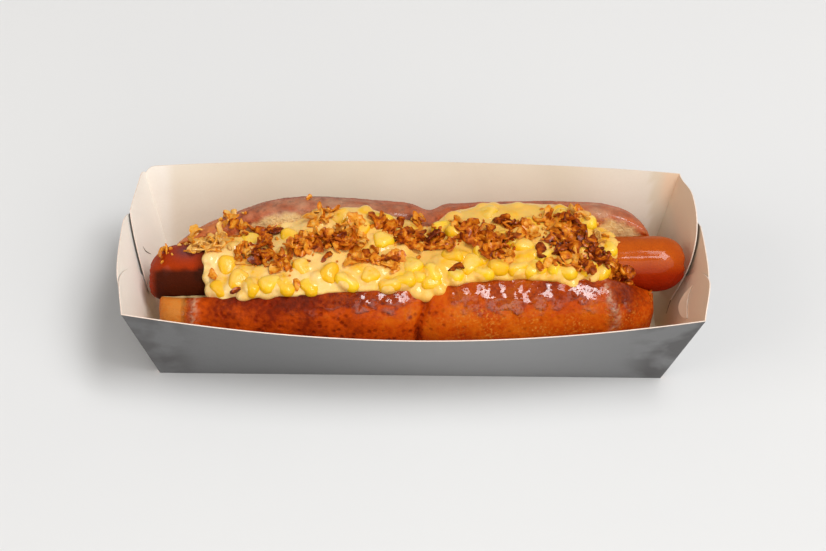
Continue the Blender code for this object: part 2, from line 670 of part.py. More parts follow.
def keep_largest_body(obj):
    """Drop slivers and loose scraps: keep the connected body with the most points."""
    bm = bmesh.new()
    bm.from_mesh(obj.data)
    bmesh.ops.triangulate(bm, faces=bm.faces)
    seen = set()
    bodies = []
    for start in bm.verts:
        if start in seen:
            continue
        body, stack = [], [start]
        seen.add(start)
        while stack:
            vert = stack.pop()
            body.append(vert)
            for edge in vert.link_edges:
                other = edge.other_vert(vert)
                if other not in seen:
                    seen.add(other)
                    stack.append(other)
        bodies.append(body)
    bodies.sort(key=len)
    for body in bodies[:-1]:
        bmesh.ops.delete(bm, geom=body, context="VERTS")
    bm.to_mesh(obj.data)
    bm.free()


def build_topping(material):
    """Cheese sauce with the corn and the onion fused into it."""
    rng = random.Random(SEED)
    topping = add_object("topping", loft(sauce_sections()), material)
    pieces = bpy.data.collections.new("pieces")
    bpy.context.scene.collection.children.link(pieces)
    add_kernels(pieces, rng)
    add_flakes(pieces, rng)
    join = topping.modifiers.new("pieces", "BOOLEAN")
    join.operation = "UNION"
    join.operand_type = "COLLECTION"
    join.collection = pieces
    bake_modifiers(topping)
    for piece in list(pieces.objects):
        bpy.data.objects.remove(piece)
    bpy.data.collections.remove(pieces)
    keep_largest_body(topping)
    shade(topping, TOPPING_SMOOTH_ANGLE)
    return topping


# ---- The whole -------------------------------------------------------------
def main():
    for obj in list(bpy.data.objects):
        bpy.data.objects.remove(obj)
    build_tray(new_material("card", (0.78, 0.70, 0.58), 0.7))
    build_bun(new_material("brioche", (0.42, 0.13, 0.02), 0.35, 0.4))
    build_sausage(new_material("sausage", (0.45, 0.08, 0.02), 0.3, 0.3))
    build_topping(new_material("filling", (0.86, 0.62, 0.22), 0.35))


main()
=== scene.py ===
"""The looks of a hot dog in its folded card tray.

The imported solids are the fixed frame.  Every one of them is replaced here by a
finer piece of the same form: the tray by a printed card shell with its cut edges,
the bun by a glazed and wrinkled crust, the sausage by a glossy casing, and the
topping by cheese sauce, sweetcorn and fried onion.

Sizes are in millimetres; MM turns them into metres.
"""

import math
import random

import bmesh
import bpy
from mathutils import Euler, Matrix, Vector, noise
from mathutils.bvhtree import BVHTree
from mathutils.kdtree import KDTree


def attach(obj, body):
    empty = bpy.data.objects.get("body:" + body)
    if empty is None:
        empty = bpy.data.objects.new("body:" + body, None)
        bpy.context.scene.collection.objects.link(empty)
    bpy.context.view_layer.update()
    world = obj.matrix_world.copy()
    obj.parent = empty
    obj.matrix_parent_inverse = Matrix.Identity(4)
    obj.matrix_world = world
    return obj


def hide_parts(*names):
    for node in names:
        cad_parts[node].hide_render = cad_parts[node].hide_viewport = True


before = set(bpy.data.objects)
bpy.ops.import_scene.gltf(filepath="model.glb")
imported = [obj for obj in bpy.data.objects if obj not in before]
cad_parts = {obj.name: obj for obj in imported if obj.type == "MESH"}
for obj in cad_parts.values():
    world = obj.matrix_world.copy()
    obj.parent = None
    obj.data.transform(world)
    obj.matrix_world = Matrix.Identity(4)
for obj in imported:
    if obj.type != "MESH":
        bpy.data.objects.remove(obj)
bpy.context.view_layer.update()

MM = 0.001

# ---- Camera and light ------------------------------------------------------
CAMERA_TARGET = Vector((0.00036, -0.00009, 0.0277))
CAMERA_DISTANCE = 0.81705
CAMERA_AZIMUTH = 2.102
CAMERA_ELEVATION = 45.0
CAMERA_ROLL = 2.164
CAMERA_LENS = 84.72
# Soft lights: direction from the hot dog, distance, size, power and colour.
LIGHTS = {"softbox": ((0.38, -0.22, 0.92), 3.5, 1.35, 62.0, (0.98, 0.99, 1.0)),
          "top": ((0.28, 0.06, 1.0), 3.5, 0.80, 14.0, (1.0, 1.0, 1.0)),
          "front_fill": ((0.55, -0.85, 0.60), 3.6, 4.0, 64.0, (1.0, 1.0, 1.0)),
          "left_fill": ((-0.80, -0.35, 0.50), 3.6, 2.4, 35.0, (1.0, 0.97, 0.93))}
SKY_COLOUR = (1.0, 0.955, 0.91)
SKY_STRENGTH = 0.28
FLOOR_SIZE = 8.0

# ---- Tray ------------------------------------------------------------------
CARD = 0.45                     # thickness of the card
LAYER_PITCH = 0.85              # spacing of the card layers at the two ends
BASE_HALF_LENGTH = 104.8
BASE_HALF_WIDTH = 31.5
RIM_HALF_LENGTH = 116.0
RIM_HALF_WIDTH = 43.8
RIM_HEIGHT = 47.5               # at the corners
SIDE_BOW = 9.4                  # the long walls swell outwards at mid length
END_BOW = 2.6                   # the ends swell outwards
END_BOW_SKEW = 0.35
SIDES = (-1, 1)                 # front and back
ENDS = (-1, 1)                  # left and right
SIDE_LAYER = {-1: 0, 1: -1}     # the back tabs lie inside the front ones
# The petal tab at each end of each long wall: its greatest height, the y where its
# top edge turns down and the y of its tip, the roundness of that turn, and the
# heights of the tip's upper and lower corner.
TABS = {(-1, -1): (49.2, -27.0, -1.0, 1.5, 23.4, 17.0),
        (-1, 1): (49.4, 14.0, -5.0, 1.2, 21.5, 19.6),
        (1, -1): (52.0, -27.0, -1.0, 1.5, 23.4, 17.0),
        (1, 1): (52.6, 24.0, -5.0, 2.5, 27.0, 19.6)}
PANEL_LAYER = 1                 # the end panels, folded up from the base, lie outside
PANEL_HEIGHT = 50.0
PANEL_INSET = 1.5               # the end panel is narrower than the base
PANEL_SHOULDER = 0.78           # its half width at the top, of the rim's
PANEL_CORNER_DROP = 0.22        # its top corners are rounded off by this share ...
PANEL_CORNER_POWER = 7          # ... close to the edges
PANEL_BACK_DROP = 0.42          # the back half of its top slopes down as well ...
PANEL_BACK_FROM = 0.22          # ... from this share of its half width
PANEL_BACK_POWER = 1.5
FOLD_ROW = 0.07                 # the tabs start this far up the walls
WALL_COLUMNS = 64
WALL_ROW_COUNT = 14
TAB_COLUMNS = 28
FINE_ENDS = 0.8                 # how much closer the columns stand near the folds
PANEL_COLUMNS = 24
BASE_SHARES = (0.25, 0.5, 0.75)
CORNER_ROUNDING = 3.2           # how far the back left corner of the rim is cut back
CORNER_REACH = 5.0
CARD_CREASE = math.radians(30)  # edges of the card bent more than this are sharp
# Cuts through the tabs, drawn as thin dark strips of painted shadow: end, layer, width and (y,
# z) along them.
CARD_CUTS = ((-1, -1, 0.5, ((9.2, 33.8), (9.4, 31.6), (10.5, 29.2), (13.2, 25.4))),
             (-1, 0, 0.45, ((-38.0, 26.6), (-36.4, 23.6), (-34.8, 26.0))),
             (1, 0, 0.5, ((-3.0, 24.0), (-3.6, 19.0), (-6.4, 13.0))))
CUT_STEPS = 16
CUT_THICKNESS = 0.05
CUT_LIFT = 0.06                 # how far the line stands off the card
# The locking tongue of the right front tab, a crescent: outer and inner edge (y, z).
TONGUE_OUTER = ((-14.6, 38.4), (-14.4, 33.0), (-16.2, 28.4), (-20.6, 27.6), (-25.4, 29.4))
TONGUE_INNER = ((-15.2, 36.6), (-16.8, 34.0), (-19.6, 32.2), (-23.6, 31.6), (-26.6, 31.4))
TONGUE_STEPS = 24
TONGUE_ROWS = (0.0, 0.33, 0.67, 1.0)
TONGUE_GAP = 0.15               # it lies this far off the tab, ...
TONGUE_LIFT = 1.5               # ... and its outer edge stands off by this much more

# ---- Sausage ---------------------------------------------------------------
SAUSAGE_RADIUS = 11.6
SAUSAGE_LEFT = -109.8
SAUSAGE_RIGHT = 113.8
SAUSAGE_CAP = 13.0
SAUSAGE_CAP_POWER = 2.3
DROOP_FROM = -94.0              # left of here the sausage's tip bends down ...
DROOP = 3.6                     # ... by this much at its end
SAUSAGE_SIDES = 72
CAP_FIRST = 0.0015              # the first ring's place, as a share of the cap
CAP_STEPS = 14
MIDDLE_STEPS = 150
AXIS_Y = -4.75                  # the sausage's axis at x = 0 ...
AXIS_Y_SLOPE = 0.0265           # ... which runs a little askew in the tray
AXIS_Z = 36.65
AXIS_Z_SLOPE = 0.016

# ---- Bun -------------------------------------------------------------------
BUN_LEFT = -103.6
BUN_RIGHT = 100.5
BUN_FLOOR = 0.9
BUN_WIDEST_HEIGHT = 31.0
BUN_FOOT_HALF_WIDTH = 18.0
# One row for each station: x, and the crest's distance from the sausage's axis
# and height, then the half width of that side.
LIPS = {
    "front": ((-103, 21.5, 39.5, 30.5), (-84, 22.3, 41.5, 32.0), (-62, 22.6, 44.6, 33.8),
              (-30, 21.3, 46.8, 35.4), (8, 18.0, 48.0, 35.0), (50, 16.4, 48.2, 34.0),
              (70, 16.8, 47.8, 33.3), (80, 16.8, 46.4, 33.0), (89, 17.0, 43.6, 32.6),
              (96, 17.0, 39.0, 32.0), (101, 17.0, 35.0, 31.5)),
    "back": ((-103, 20.0, 50.0, 38.0), (-78, 20.6, 52.0, 39.3), (-62, 21.3, 54.2, 41.0),
             (-46, 21.5, 54.2, 40.8), (-28, 21.2, 51.8, 39.4), (-11, 20.7, 49.6, 38.2),
             (2, 20.5, 48.0, 37.4), (14, 20.3, 48.9, 37.5), (40, 20.0, 49.4, 37.4),
             (60, 19.7, 50.6, 38.0), (75, 19.5, 52.0, 38.5), (92, 18.8, 52.5, 38.6),
             (101, 18.0, 52.0, 37.5))}
UPPER_POWER = {"front": 1.8, "back": 2.0}       # how full the curve from crest to side is ...
LOWER_POWER = 1.7                               # ... and the curve from there to the foot
CENTRE_HEIGHT = {"front": 25.0, "back": 33.0}   # the ends draw in towards this height
PROFILE_STEPS = (8, 20, 16)     # up the split's wall, over the lip and down to the foot
# How each end closes: power of the rounding, large where the end is blunt.
ROUNDING = {("front", "left"): 9.0, ("back", "left"): 2.5,
            ("front", "right"): 6.0, ("back", "right"): 4.6}
# The crease between the bun's two lobes: x, share of the section and half width.
CREASE = {"front": (3.0, 0.075, 5.0), "back": (7.0, 0.10, 5.0)}
SPLIT_FOOT_DROP = 1.5           # the split's side walls start this far under the axis
BUN_STEP = 1.5
BUN_END_STEPS = (0.4, 0.8, 1.4, 2.2)    # the stations stand closer at the two ends
BUN_VOXEL = 0.9
CHANNEL_CLEARANCE = 0.15
CHANNEL_STEPS = 32
CHANNEL_RISE = 40.0             # its cutter reaches past the bun above ...
CHANNEL_PAST = 10.0             # ... and past the sausage at both ends
# Folds of the front crust: x at the top and at the foot, depth, half width, lowest
# and highest point.
FRONT_FOLDS = ((5.4, 1.9, 2.2, 1.1, 14, 49), (-2.0, -3.4, 0.5, 0.8, 26, 45),
               (-28.6, -29.2, 0.8, 1.5, 14, 41), (57.0, 53.0, 0.35, 1.2, 30, 46),
               (-62.0, -60.0, 0.3, 1.6, 28, 42))
# A raised fold before the right end: x at top and foot, x half way up, height, half width.
END_RIDGE = (77.5, 83.0, 0.7, 2.2)
LEFT_GLINT = -88.6             # x of a painted highlight streak before the left end
# Patches of egg glaze along the front lip: x, half length and strength.
GLAZE_PATCHES = ((-18, 16, 1.0), (19, 4, 0.8), (35, 11, 1.0), (52, 8, 0.9), (69, 7, 1.0),
                 (84, 5, 1.0), (-45, 9, 0.5), (-72, 7, 0.3), (-91, 2, 0.9))

# ---- Sauce, corn and onion --------------------------------------------------
SAUCE_LEFT = -86.0
SAUCE_RIGHT = 83.0
SAUCE_END_POWER = 5.0
SAUCE_CROWN = 4.2
SAUCE_CROWN_POWER = 2.6
SAUCE_EDGE = 1.2
SAUCE_LEAST = 0.15
# How far the sauce reaches past each crest of the bun: x and distance.
SAUCE_OVERHANG = {
    "front": ((-86, 0.5), (-62, 2.4), (-30, 2.6), (5, 5.0), (20, 3.0), (42, 2.2),
              (64, 4.2), (74, 2.2), (83, 0.5)),
    "back": ((-86, -1.5), (-66, -3.2), (-46, -3.0), (-31, -0.8), (-20, -0.5),
             (5, -2.5), (20, 0.8), (34, 4.6), (56, 5.2), (68, 2.5), (83, -0.5))}
SAUCE_STEP = 1.3
SAUCE_COLUMNS = 40
SAUCE_TRIM = 0.2                # its end sections stand this far inside its ends
SAUCE_SINK = 0.4                # it is pressed this far into what carries it
SAUCE_VOXEL = 0.62
CREVICE_HEIGHT = 5.0
# Thick round drops of sauce at its edge: x, place across, radius, drop below the top.
SAUCE_DROPS = ((-80.5, 0.08, 4.6, 2.6), (-82.4, 0.28, 4.0, 2.2), (-83.4, 0.50, 3.4, 1.6),
               (-76, 0.03, 3.8, 2.4), (5, 0.00, 4.0, 2.6), (1, 0.01, 3.4, 2.2),
               (10, 0.01, 3.2, 2.0), (64, 0.01, 3.2, 2.4), (61, 0.04, 3.0, 1.8),
               (81, 0.30, 3.4, 2.2), (81.6, 0.55, 3.4, 2.0), (81, 0.82, 3.6, 2.0))
LUMP_COUNT = 110                # kernels wholly under the sauce, which swell it
LUMP_DEPTHS = (1.7, 2.5)
LUMP_SIZES = (0.75, 1.0)        # their shares of a kernel's size
SHALLOW = 2.1                   # less deep than this, they shine through it
THIN_REACH = (4.7, 3.0)         # how far from a kernel's centre that begins and is full
KERNEL_HALF_SIZE = (5.1, 4.5, 3.2)
KERNEL_RINGS = 11
KERNEL_SIDES = 18
KERNEL_SINK = 1.3               # how far its centre lies under the sauce's surface
# Corn kernels that show: x, and the place across from the front lip to the back.
KERNELS = ((-78, 0.08), (-58, 0.12), (-41, 0.10), (-45, 0.26), (-34, 0.18), (-27, 0.08),
           (-18, 0.14), (-10, 0.06), (-4, 0.10), (-13, 0.55), (-13, 0.84), (-67, 0.82),
           (-51, 0.73), (-22, 0.67), (-39, 0.93), (16, 0.31), (12, 0.76), (0, 0.12),
           (7, 0.07), (17, 0.08), (28, 0.07), (28, 0.26), (34, 0.12), (38, 0.42),
           (42, 0.10), (18, 0.61), (62, 0.10), (75, 0.10), (79, 0.92), (71, 0.75),
           (62, 0.80), (79, 0.36), (31, 0.82), (45, 0.36), (53, 0.24), (-71, 0.18),
           (-65, 0.09), (-52, 0.10), (8, 0.17), (49, 0.09), (57, 0.12), (-1, 0.27),
           (23, 0.17), (-76, 0.42), (-30, 0.84), (70, 0.12))
# Clumps of fried onion: x, y, spread along and across, flakes, height, toast.
ONION_CLUMPS = (
    (-75, 13, 3.5, 2.2, 5, 1.5, 0.35), (-88, -2, 4.5, 5.5, 21, 2.6, 0.08),
    (-82, -3, 4.2, 4.6, 16, 2.6, 0.15), (-80, 5, 3.6, 2.6, 8, 1.6, 0.25),
    (-70, 7, 4.6, 2.5, 10, 2.0, 0.55), (-70, -10, 3.4, 4.2, 10, 2.0, 0.35),
    (-62, -5, 3.8, 3.0, 10, 2.2, 0.62), (-63, -13, 3.8, 3.0, 8, 2.0, 0.75),
    (-60, 3, 3.2, 2.2, 8, 1.5, 0.78), (-56, -18, 4.4, 2.6, 7, 1.3, 0.52),
    (-52, -15, 3.4, 2.6, 6, 1.3, 0.58), (-46, -8, 4.4, 4.0, 17, 2.5, 0.52),
    (-38, -6, 4.4, 4.2, 19, 3.0, 0.58), (-28, -2, 5.0, 4.2, 20, 3.0, 0.48),
    (-30, -8, 4.5, 3.2, 14, 2.5, 0.74), (-37, 6, 4.6, 3.4, 11, 2.0, 0.38),
    (-23, -6, 3.0, 1.6, 6, 1.0, 0.40), (-24, -17, 4.6, 2.0, 7, 1.2, 0.58),
    (-19, -14, 3.8, 2.4, 6, 1.4, 0.58), (-13, -17, 3.6, 1.8, 4, 1.0, 0.52),
    (-9, -14, 3.2, 2.0, 5, 1.5, 0.70), (-13, 4, 3.8, 2.4, 6, 2.0, 0.78),
    (-6, 2, 4.8, 3.6, 10, 3.0, 0.72), (-4, -3, 4.8, 3.0, 8, 3.0, 0.78),
    (0, -6, 4.4, 2.4, 6, 2.0, 0.45), (2, 0, 4.6, 3.4, 9, 3.0, 0.78),
    (8, -3, 4.8, 3.8, 10, 3.0, 0.85), (13, -8, 3.2, 2.0, 6, 1.5, 0.50),
    (3, 12, 2.0, 2.2, 5, 5.5, 0.45), (20, 2, 4.2, 2.6, 8, 2.2, 0.50),
    (23, -2, 4.0, 3.0, 9, 2.5, 0.68), (27, -1, 4.2, 3.0, 8, 2.5, 0.55),
    (26, -6, 4.2, 2.2, 6, 1.5, 0.60), (31, -5, 4.2, 3.4, 10, 3.0, 0.75),
    (34, -8, 3.8, 2.6, 7, 2.0, 0.78), (37, 5, 4.4, 1.6, 6, 1.5, 0.65),
    (39, -6, 2.6, 2.0, 4, 1.5, 0.65), (44, 4, 4.8, 2.0, 7, 1.5, 0.60),
    (46, -1, 3.8, 1.8, 6, 1.5, 0.55), (36, -13, 2.6, 2.4, 4, 1.2, 0.40),
    (32, -13, 2.2, 3.4, 5, 1.2, 0.62), (56, 8, 3.2, 2.0, 6, 1.5, 0.60),
    (60, 2, 4.2, 3.0, 10, 2.5, 0.55), (65, 5, 4.2, 2.6, 8, 2.5, 0.75),
    (58, -4, 4.8, 2.6, 8, 2.5, 0.68), (63, -3, 4.2, 2.6, 8, 2.5, 0.75),
    (67, -2, 3.8, 2.6, 7, 2.5, 0.68), (61, -10, 3.8, 2.6, 7, 2.0, 0.82),
    (64, -12, 3.8, 2.6, 7, 2.0, 0.55), (71, -7, 3.4, 2.6, 8, 3.0, 0.88),
    (74, -11, 3.4, 3.0, 9, 3.0, 0.85), (78, -1, 3.0, 2.4, 4, 2.0, 0.20),
    (57, -17, 3.2, 1.2, 3, 1.0, 0.55), (66, -18, 3.6, 1.6, 4, 1.2, 0.68),
    (70, -19, 2.2, 1.6, 3, 1.0, 0.85), (67, 10, 4.0, 2.0, 7, 1.5, 0.35),
    (80, -13, 3.0, 3.2, 7, 2.5, 0.80), (83, -13, 2.6, 2.4, 7, 1.6, 0.68),
    (87, -14, 2.6, 1.8, 6, 1.2, 0.76), (-103, -4, 2.4, 3.2, 3, 0.2, 0.45))
# Single flakes: x, y, length, width, turn in degrees, toast.
ONION_SINGLES = ((17.7, -18.2, 10.5, 6.0, 8, 0.95), (51.6, -11.5, 9.0, 4.6, 80, 0.97),
                 (50.9, -19.4, 5.6, 3.0, 85, 0.60), (77, -4, 9.5, 6.5, 70, 0.05),
                 (-34.9, -14.3, 9.5, 2.3, 40, 0.85), (-47.3, -26.0, 8.5, 2.3, 88, 0.5),
                 (-81.5, -18.5, 6.5, 2.6, 85, 0.50), (-7.4, -21.0, 4.6, 2.4, 10, 0.5),
                 (-71.6, -28.0, 5.5, 2.4, 5, 0.95), (-43.7, 21, 2.6, 2.2, 0, 0.45),
                 (98, -15, 3.0, 1.8, 20, 0.8))
FLAKE_LENGTHS = (4.0, 9.6)
FLAKE_WIDTHS = (2.2, 5.2)
FLAKE_THICKNESS = 0.6
FLAKE_GRID = (10, 5)
FLAKE_LIFT = 0.4                # a clump's lowest flakes lie this far over what is under them
FLAKE_TILT = 0.9
FLAKE_CREASE = math.radians(50)     # edges of a flake bent more than this are sharp
FALL_FROM = 200.0               # flakes and crumbs are dropped from this height
CRUMB_COUNT = 260
CRUMB_RADII = (0.35, 0.95)
SEED = 11
noise.seed_set(SEED)            # noise_vector would start from the clock otherwise


# ---- Small helpers ---------------------------------------------------------
def lerp(a, b, t):
    return a + (b - a) * t


def clamp(value, low, high):
    return min(high, max(low, value))


def smoothstep(t):
    t = clamp(t, 0.0, 1.0)
    return t * t * (3.0 - 2.0 * t)


def ease(value, start, end):
    """0 up to start and 1 from end on, smooth between; end may lie under start."""
    return smoothstep((value - start) / (end - start))


def bell(t):
    return math.exp(-t * t)


def along(rows, x, column=1):
    """Smooth value of a column at x, from rows that start with their x."""
    last = len(rows) - 2
    i = next((k for k in range(last + 1) if x < rows[k + 1][0]), last)
    x0, x1 = rows[i][0], rows[i + 1][0]

    def slope(k):
        lo, hi = max(0, k - 1), min(len(rows) - 1, k + 1)
        return (rows[hi][column] - rows[lo][column]) / (rows[hi][0] - rows[lo][0])

    span = x1 - x0
    t = clamp((x - x0) / span, 0.0, 1.0)
    a, b = rows[i][column], rows[i + 1][column]
    return ((2 * t**3 - 3 * t**2 + 1) * a + (t**3 - 2 * t**2 + t) * span * slope(i)
            + (3 * t**2 - 2 * t**3) * b + (t**3 - t**2) * span * slope(i + 1))


def add_object(name, bm, materials=()):
    """Turn a bmesh in millimetres into a named object in metres."""
    bmesh.ops.scale(bm, vec=(MM, MM, MM), verts=bm.verts)
    mesh = bpy.data.meshes.new(name)
    bm.to_mesh(mesh)
    bm.free()
    obj = bpy.data.objects.new(name, mesh)
    bpy.context.scene.collection.objects.link(obj)
    for material in materials:
        mesh.materials.append(material)
    mesh.shade_smooth()
    return obj


def bake_modifiers(obj):
    """Replace the object's mesh by what its modifiers make of it."""
    bpy.context.view_layer.update()
    evaluated = obj.evaluated_get(bpy.context.evaluated_depsgraph_get())
    baked = bpy.data.meshes.new_from_object(evaluated)
    baked.name = obj.data.name
    obj.modifiers.clear()
    obj.data = baked


def add_rings(bm, sections):
    """Close a run of equal rings of points into one solid, and give its vertices."""
    rings = [[bm.verts.new(point) for point in section] for section in sections]
    count = len(rings[0])
    for near, far in zip(rings, rings[1:]):
        for j in range(count):
            k = (j + 1) % count
            bm.faces.new((near[j], near[k], far[k], far[j]))
    bm.faces.new(rings[0][::-1])
    bm.faces.new(rings[-1])
    return [vert for ring in rings for vert in ring]


def loft(sections):
    """A solid of its own from a run of equal rings of points."""
    bm = bmesh.new()
    add_rings(bm, sections)
    bmesh.ops.recalc_face_normals(bm, faces=bm.faces)
    return bm


def remesh(obj, voxel, smoothing):
    """Even small faces all over, with overlapping shapes run together."""
    cells = obj.modifiers.new("cells", "REMESH")
    cells.mode = "VOXEL"
    cells.voxel_size = voxel * MM
    soften = obj.modifiers.new("soften", "SMOOTH")
    soften.factor = 0.5
    soften.iterations = smoothing
    bake_modifiers(obj)
    obj.data.shade_smooth()


def displace(obj, offset):
    """Move each point along its normal by offset(place, normal), in millimetres."""
    mesh = obj.data
    normals = [v.normal.copy() for v in mesh.vertices]
    for vert, normal in zip(mesh.vertices, normals):
        vert.co = vert.co + normal * (offset(vert.co / MM, normal) * MM)
    mesh.update()


def store(obj, name, values):
    """Keep a number at each point, for the material to read."""
    layer = obj.data.attributes.new(name, "FLOAT", "POINT")
    layer.data.foreach_set("value", values)


def paint(obj, name, value):
    """Store value(place, normal) at each point."""
    store(obj, name, [value(v.co / MM, v.normal) for v in obj.data.vertices])


def finish_piece(obj, slot, *nodes):
    """Fix a piece to the body and hide the solids that it stands for. Its slot is not used."""
    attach(obj, "root")
    if nodes:
        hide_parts(*nodes)
    return obj


# ---- Node trees ------------------------------------------------------------
def place(tree, kind, inputs=None, **settings):
    """Add a node; inputs gives its sockets a value or another node's output."""
    made = tree.nodes.new(kind)
    for name, value in settings.items():
        setattr(made, name, value)
    for key, value in (inputs or {}).items():
        if isinstance(value, bpy.types.NodeSocket):
            tree.links.new(value, made.inputs[key])
        else:
            made.inputs[key].default_value = value
    return made


def new_group(name, numbers, output):
    """A node group of a place and named numbers: its tree, and what its inputs give."""
    tree = bpy.data.node_groups.new(name, "ShaderNodeTree")
    new_socket = tree.interface.new_socket
    new_socket(name="Place", in_out="INPUT", socket_type="NodeSocketVector")
    for label, value in numbers.items():
        socket = new_socket(name=label, in_out="INPUT", socket_type="NodeSocketFloat")
        socket.default_value = value
    new_socket(name=output, in_out="OUTPUT", socket_type="NodeSocketFloat")
    return tree, tree.nodes.new("NodeGroupInput").outputs


def build_mottle_group():
    """Soft uneven patches, from Low to High of a noise."""
    tree, given = new_group("mottle", {"Scale": 0.1, "Low": 0.3, "High": 0.7}, "Mask")
    patches = place(tree, "ShaderNodeTexNoise",
                    {"Vector": given["Place"], "Scale": given["Scale"], "Detail": 3.0})
    mask = place(tree, "ShaderNodeMapRange",
                 {"Value": patches.outputs["Fac"], "From Min": given["Low"],
                  "From Max": given["High"]})
    place(tree, "NodeGroupOutput", {"Mask": mask.outputs["Result"]})
    return tree


def build_speckle_group():
    """Small round specks: one in each cell, in a share of the cells."""
    tree, given = new_group("speckle", {"Scale": 0.5, "Size": 0.3, "Share": 0.5}, "Mask")
    cells = place(tree, "ShaderNodeTexVoronoi",
                  {"Vector": given["Place"], "Scale": given["Scale"], "Randomness": 1.0})
    spot = place(tree, "ShaderNodeMapRange",
                 {"Value": cells.outputs["Distance"], "From Min": given["Size"],
                  "From Max": 0.0}, interpolation_type="SMOOTHSTEP")
    channel = place(tree, "ShaderNodeSeparateColor", {"Color": cells.outputs["Color"]})
    chosen = place(tree, "ShaderNodeMath",
                   {0: channel.outputs["Red"], 1: given["Share"]}, operation="LESS_THAN")
    mask = place(tree, "ShaderNodeMath",
                 {0: spot.outputs["Result"], 1: chosen.outputs["Value"]}, operation="MULTIPLY")
    place(tree, "NodeGroupOutput", {"Mask": mask.outputs["Value"]})
    return tree


def build_wrinkle_group():
    """Height of a fine skin: broad swells, and crinkles a few times finer."""
    tree, given = new_group("wrinkle", {"Broad Scale": 0.2, "Fine Scale": 1.0,
                                        "Fine Share": 0.5}, "Height")
    broad = place(tree, "ShaderNodeTexNoise",
                  {"Vector": given["Place"], "Scale": given["Broad Scale"], "Detail": 2.0})
    fine = place(tree, "ShaderNodeTexNoise",
                 {"Vector": given["Place"], "Scale": given["Fine Scale"], "Detail": 3.0,
                  "Roughness": 0.6, "Distortion": 0.6})
    total = place(tree, "ShaderNodeMath",
                  {0: fine.outputs["Fac"], 1: given["Fine Share"], 2: broad.outputs["Fac"]},
                  operation="MULTIPLY_ADD")
    place(tree, "NodeGroupOutput", {"Height": total.outputs["Value"]})
    return tree


MOTTLE = build_mottle_group()
SPECKLE = build_speckle_group()
WRINKLE = build_wrinkle_group()


class Finish:
    """A material in the making: its tree, its shader and its millimetre coordinates."""

    def __init__(self, name, **sockets):
        self.material = bpy.data.materials.new(name)
        self.material.use_nodes = True
        self.tree = self.material.node_tree
        self.shader = self.tree.nodes["Principled BSDF"]
        for socket, value in sockets.items():
            self.shader.inputs[socket.replace("_", " ")].default_value = value
        metres = self.add("ShaderNodeTexCoord").outputs["Object"]
        self.place = self.add("ShaderNodeVectorMath", {0: metres, "Scale": 1 / MM},
                              operation="SCALE").outputs["Vector"]

    def add(self, kind, inputs=None, **settings):
        return place(self.tree, kind, inputs, **settings)

    def group(self, group, **inputs):
        """Add one of the shared groups, and give its only output."""
        named = {name.replace("_", " "): value for name, value in inputs.items()}
        made = self.add("ShaderNodeGroup", {"Place": self.place, **named}, node_tree=group)
        return made.outputs[0]

    def painted(self, name):
        return self.add("ShaderNodeAttribute", attribute_name=name).outputs["Fac"]

    def math(self, operation, a, b):
        return self.add("ShaderNodeMath", {0: a, 1: b}, operation=operation).outputs["Value"]

    def blend(self, factor, a, b):
        """Mix two colours, each a tuple or an output."""
        a = (*a, 1.0) if isinstance(a, tuple) else a
        b = (*b, 1.0) if isinstance(b, tuple) else b
        return self.add("ShaderNodeMix", {0: factor, 6: a, 7: b}, data_type="RGBA").outputs[2]

    def level(self, factor, a, b):
        """Mix two numbers by a factor."""
        return self.add("ShaderNodeMapRange",
                        {"Value": factor, "To Min": a, "To Max": b}).outputs["Result"]

    def ramp(self, factor, stops):
        """Colours along a factor: rows of place and colour."""
        made = self.add("ShaderNodeValToRGB", {"Fac": factor})
        elements = made.color_ramp.elements
        while len(elements) < len(stops):
            elements.new(0.5)
        for element, (position, colour) in zip(elements, stops):
            element.position = position
            element.color = (*colour, 1.0)
        return made.outputs["Color"]

    def bump(self, height, distance, strength=1.0):
        """Raise the surface by a height, distance millimetres at full strength."""
        made = self.add("ShaderNodeBump",
                        {"Height": height, "Distance": distance * MM, "Strength": strength})
        self.set("Normal", made.outputs["Normal"])

    def set(self, socket, value):
        self.tree.links.new(value, self.shader.inputs[socket])


# ---- Materials -------------------------------------------------------------
def card_inside_finish():
    """Unprinted cream board with painted light: paler at the ends, tan painted shade on the
    right tabs, and yellow painted bounce light with grease low at the right end.
    """
    card = Finish("card_inside", Roughness=0.62, Specular_IOR_Level=0.25)
    fibre = card.group(MOTTLE, Scale=0.9)
    cloud = card.group(MOTTLE, Scale=0.022, Low=0.35, High=0.65)
    plain = card.blend(cloud, (0.80, 0.71, 0.545), (0.83, 0.745, 0.59))
    # Painted light: the inside is paler towards the two ends.
    plain = card.blend(card.painted("pale"), plain, (0.97, 0.92, 0.83))
    # Painted shade with bounce light: the right end's tabs, turned from the light, are tan.
    plain = card.blend(card.painted("tab_shade"), plain, (0.93, 0.67, 0.46))
    plain = card.blend(card.level(fibre, 0.0, 0.10), plain, (0.74, 0.62, 0.47))
    # Painted bounce light with grease: yellow low at the right end, next to the bun.
    card.set("Base Color", card.blend(card.painted("grease_and_bounce"), plain, (0.98, 0.76, 0.40)))
    card.bump(card.group(WRINKLE, Broad_Scale=0.05, Fine_Scale=2.2, Fine_Share=0.05), 0.5)
    return card.material


def card_print_finish():
    """Plain grey print, lighter right of the middle, with worn clouds at the corners."""
    card = Finish("card_print", Roughness=0.48, Specular_IOR_Level=0.4)
    cloud = card.group(MOTTLE, Scale=0.055, Low=0.38, High=0.53)
    grain = card.group(MOTTLE, Scale=1.6)
    smudge = card.math("MULTIPLY", cloud, card.painted("wear"))
    plain = card.blend(grain, (0.130, 0.131, 0.133), (0.148, 0.149, 0.150))
    # The grey print is lighter right of the middle.
    plain = card.blend(card.painted("lighter_print"), plain, (0.235, 0.236, 0.238))
    card.set("Base Color", card.blend(smudge, plain, (0.080, 0.076, 0.076)))
    card.bump(card.group(WRINKLE, Broad_Scale=0.04, Fine_Scale=2.0, Fine_Share=0.04), 0.4)
    return card.material


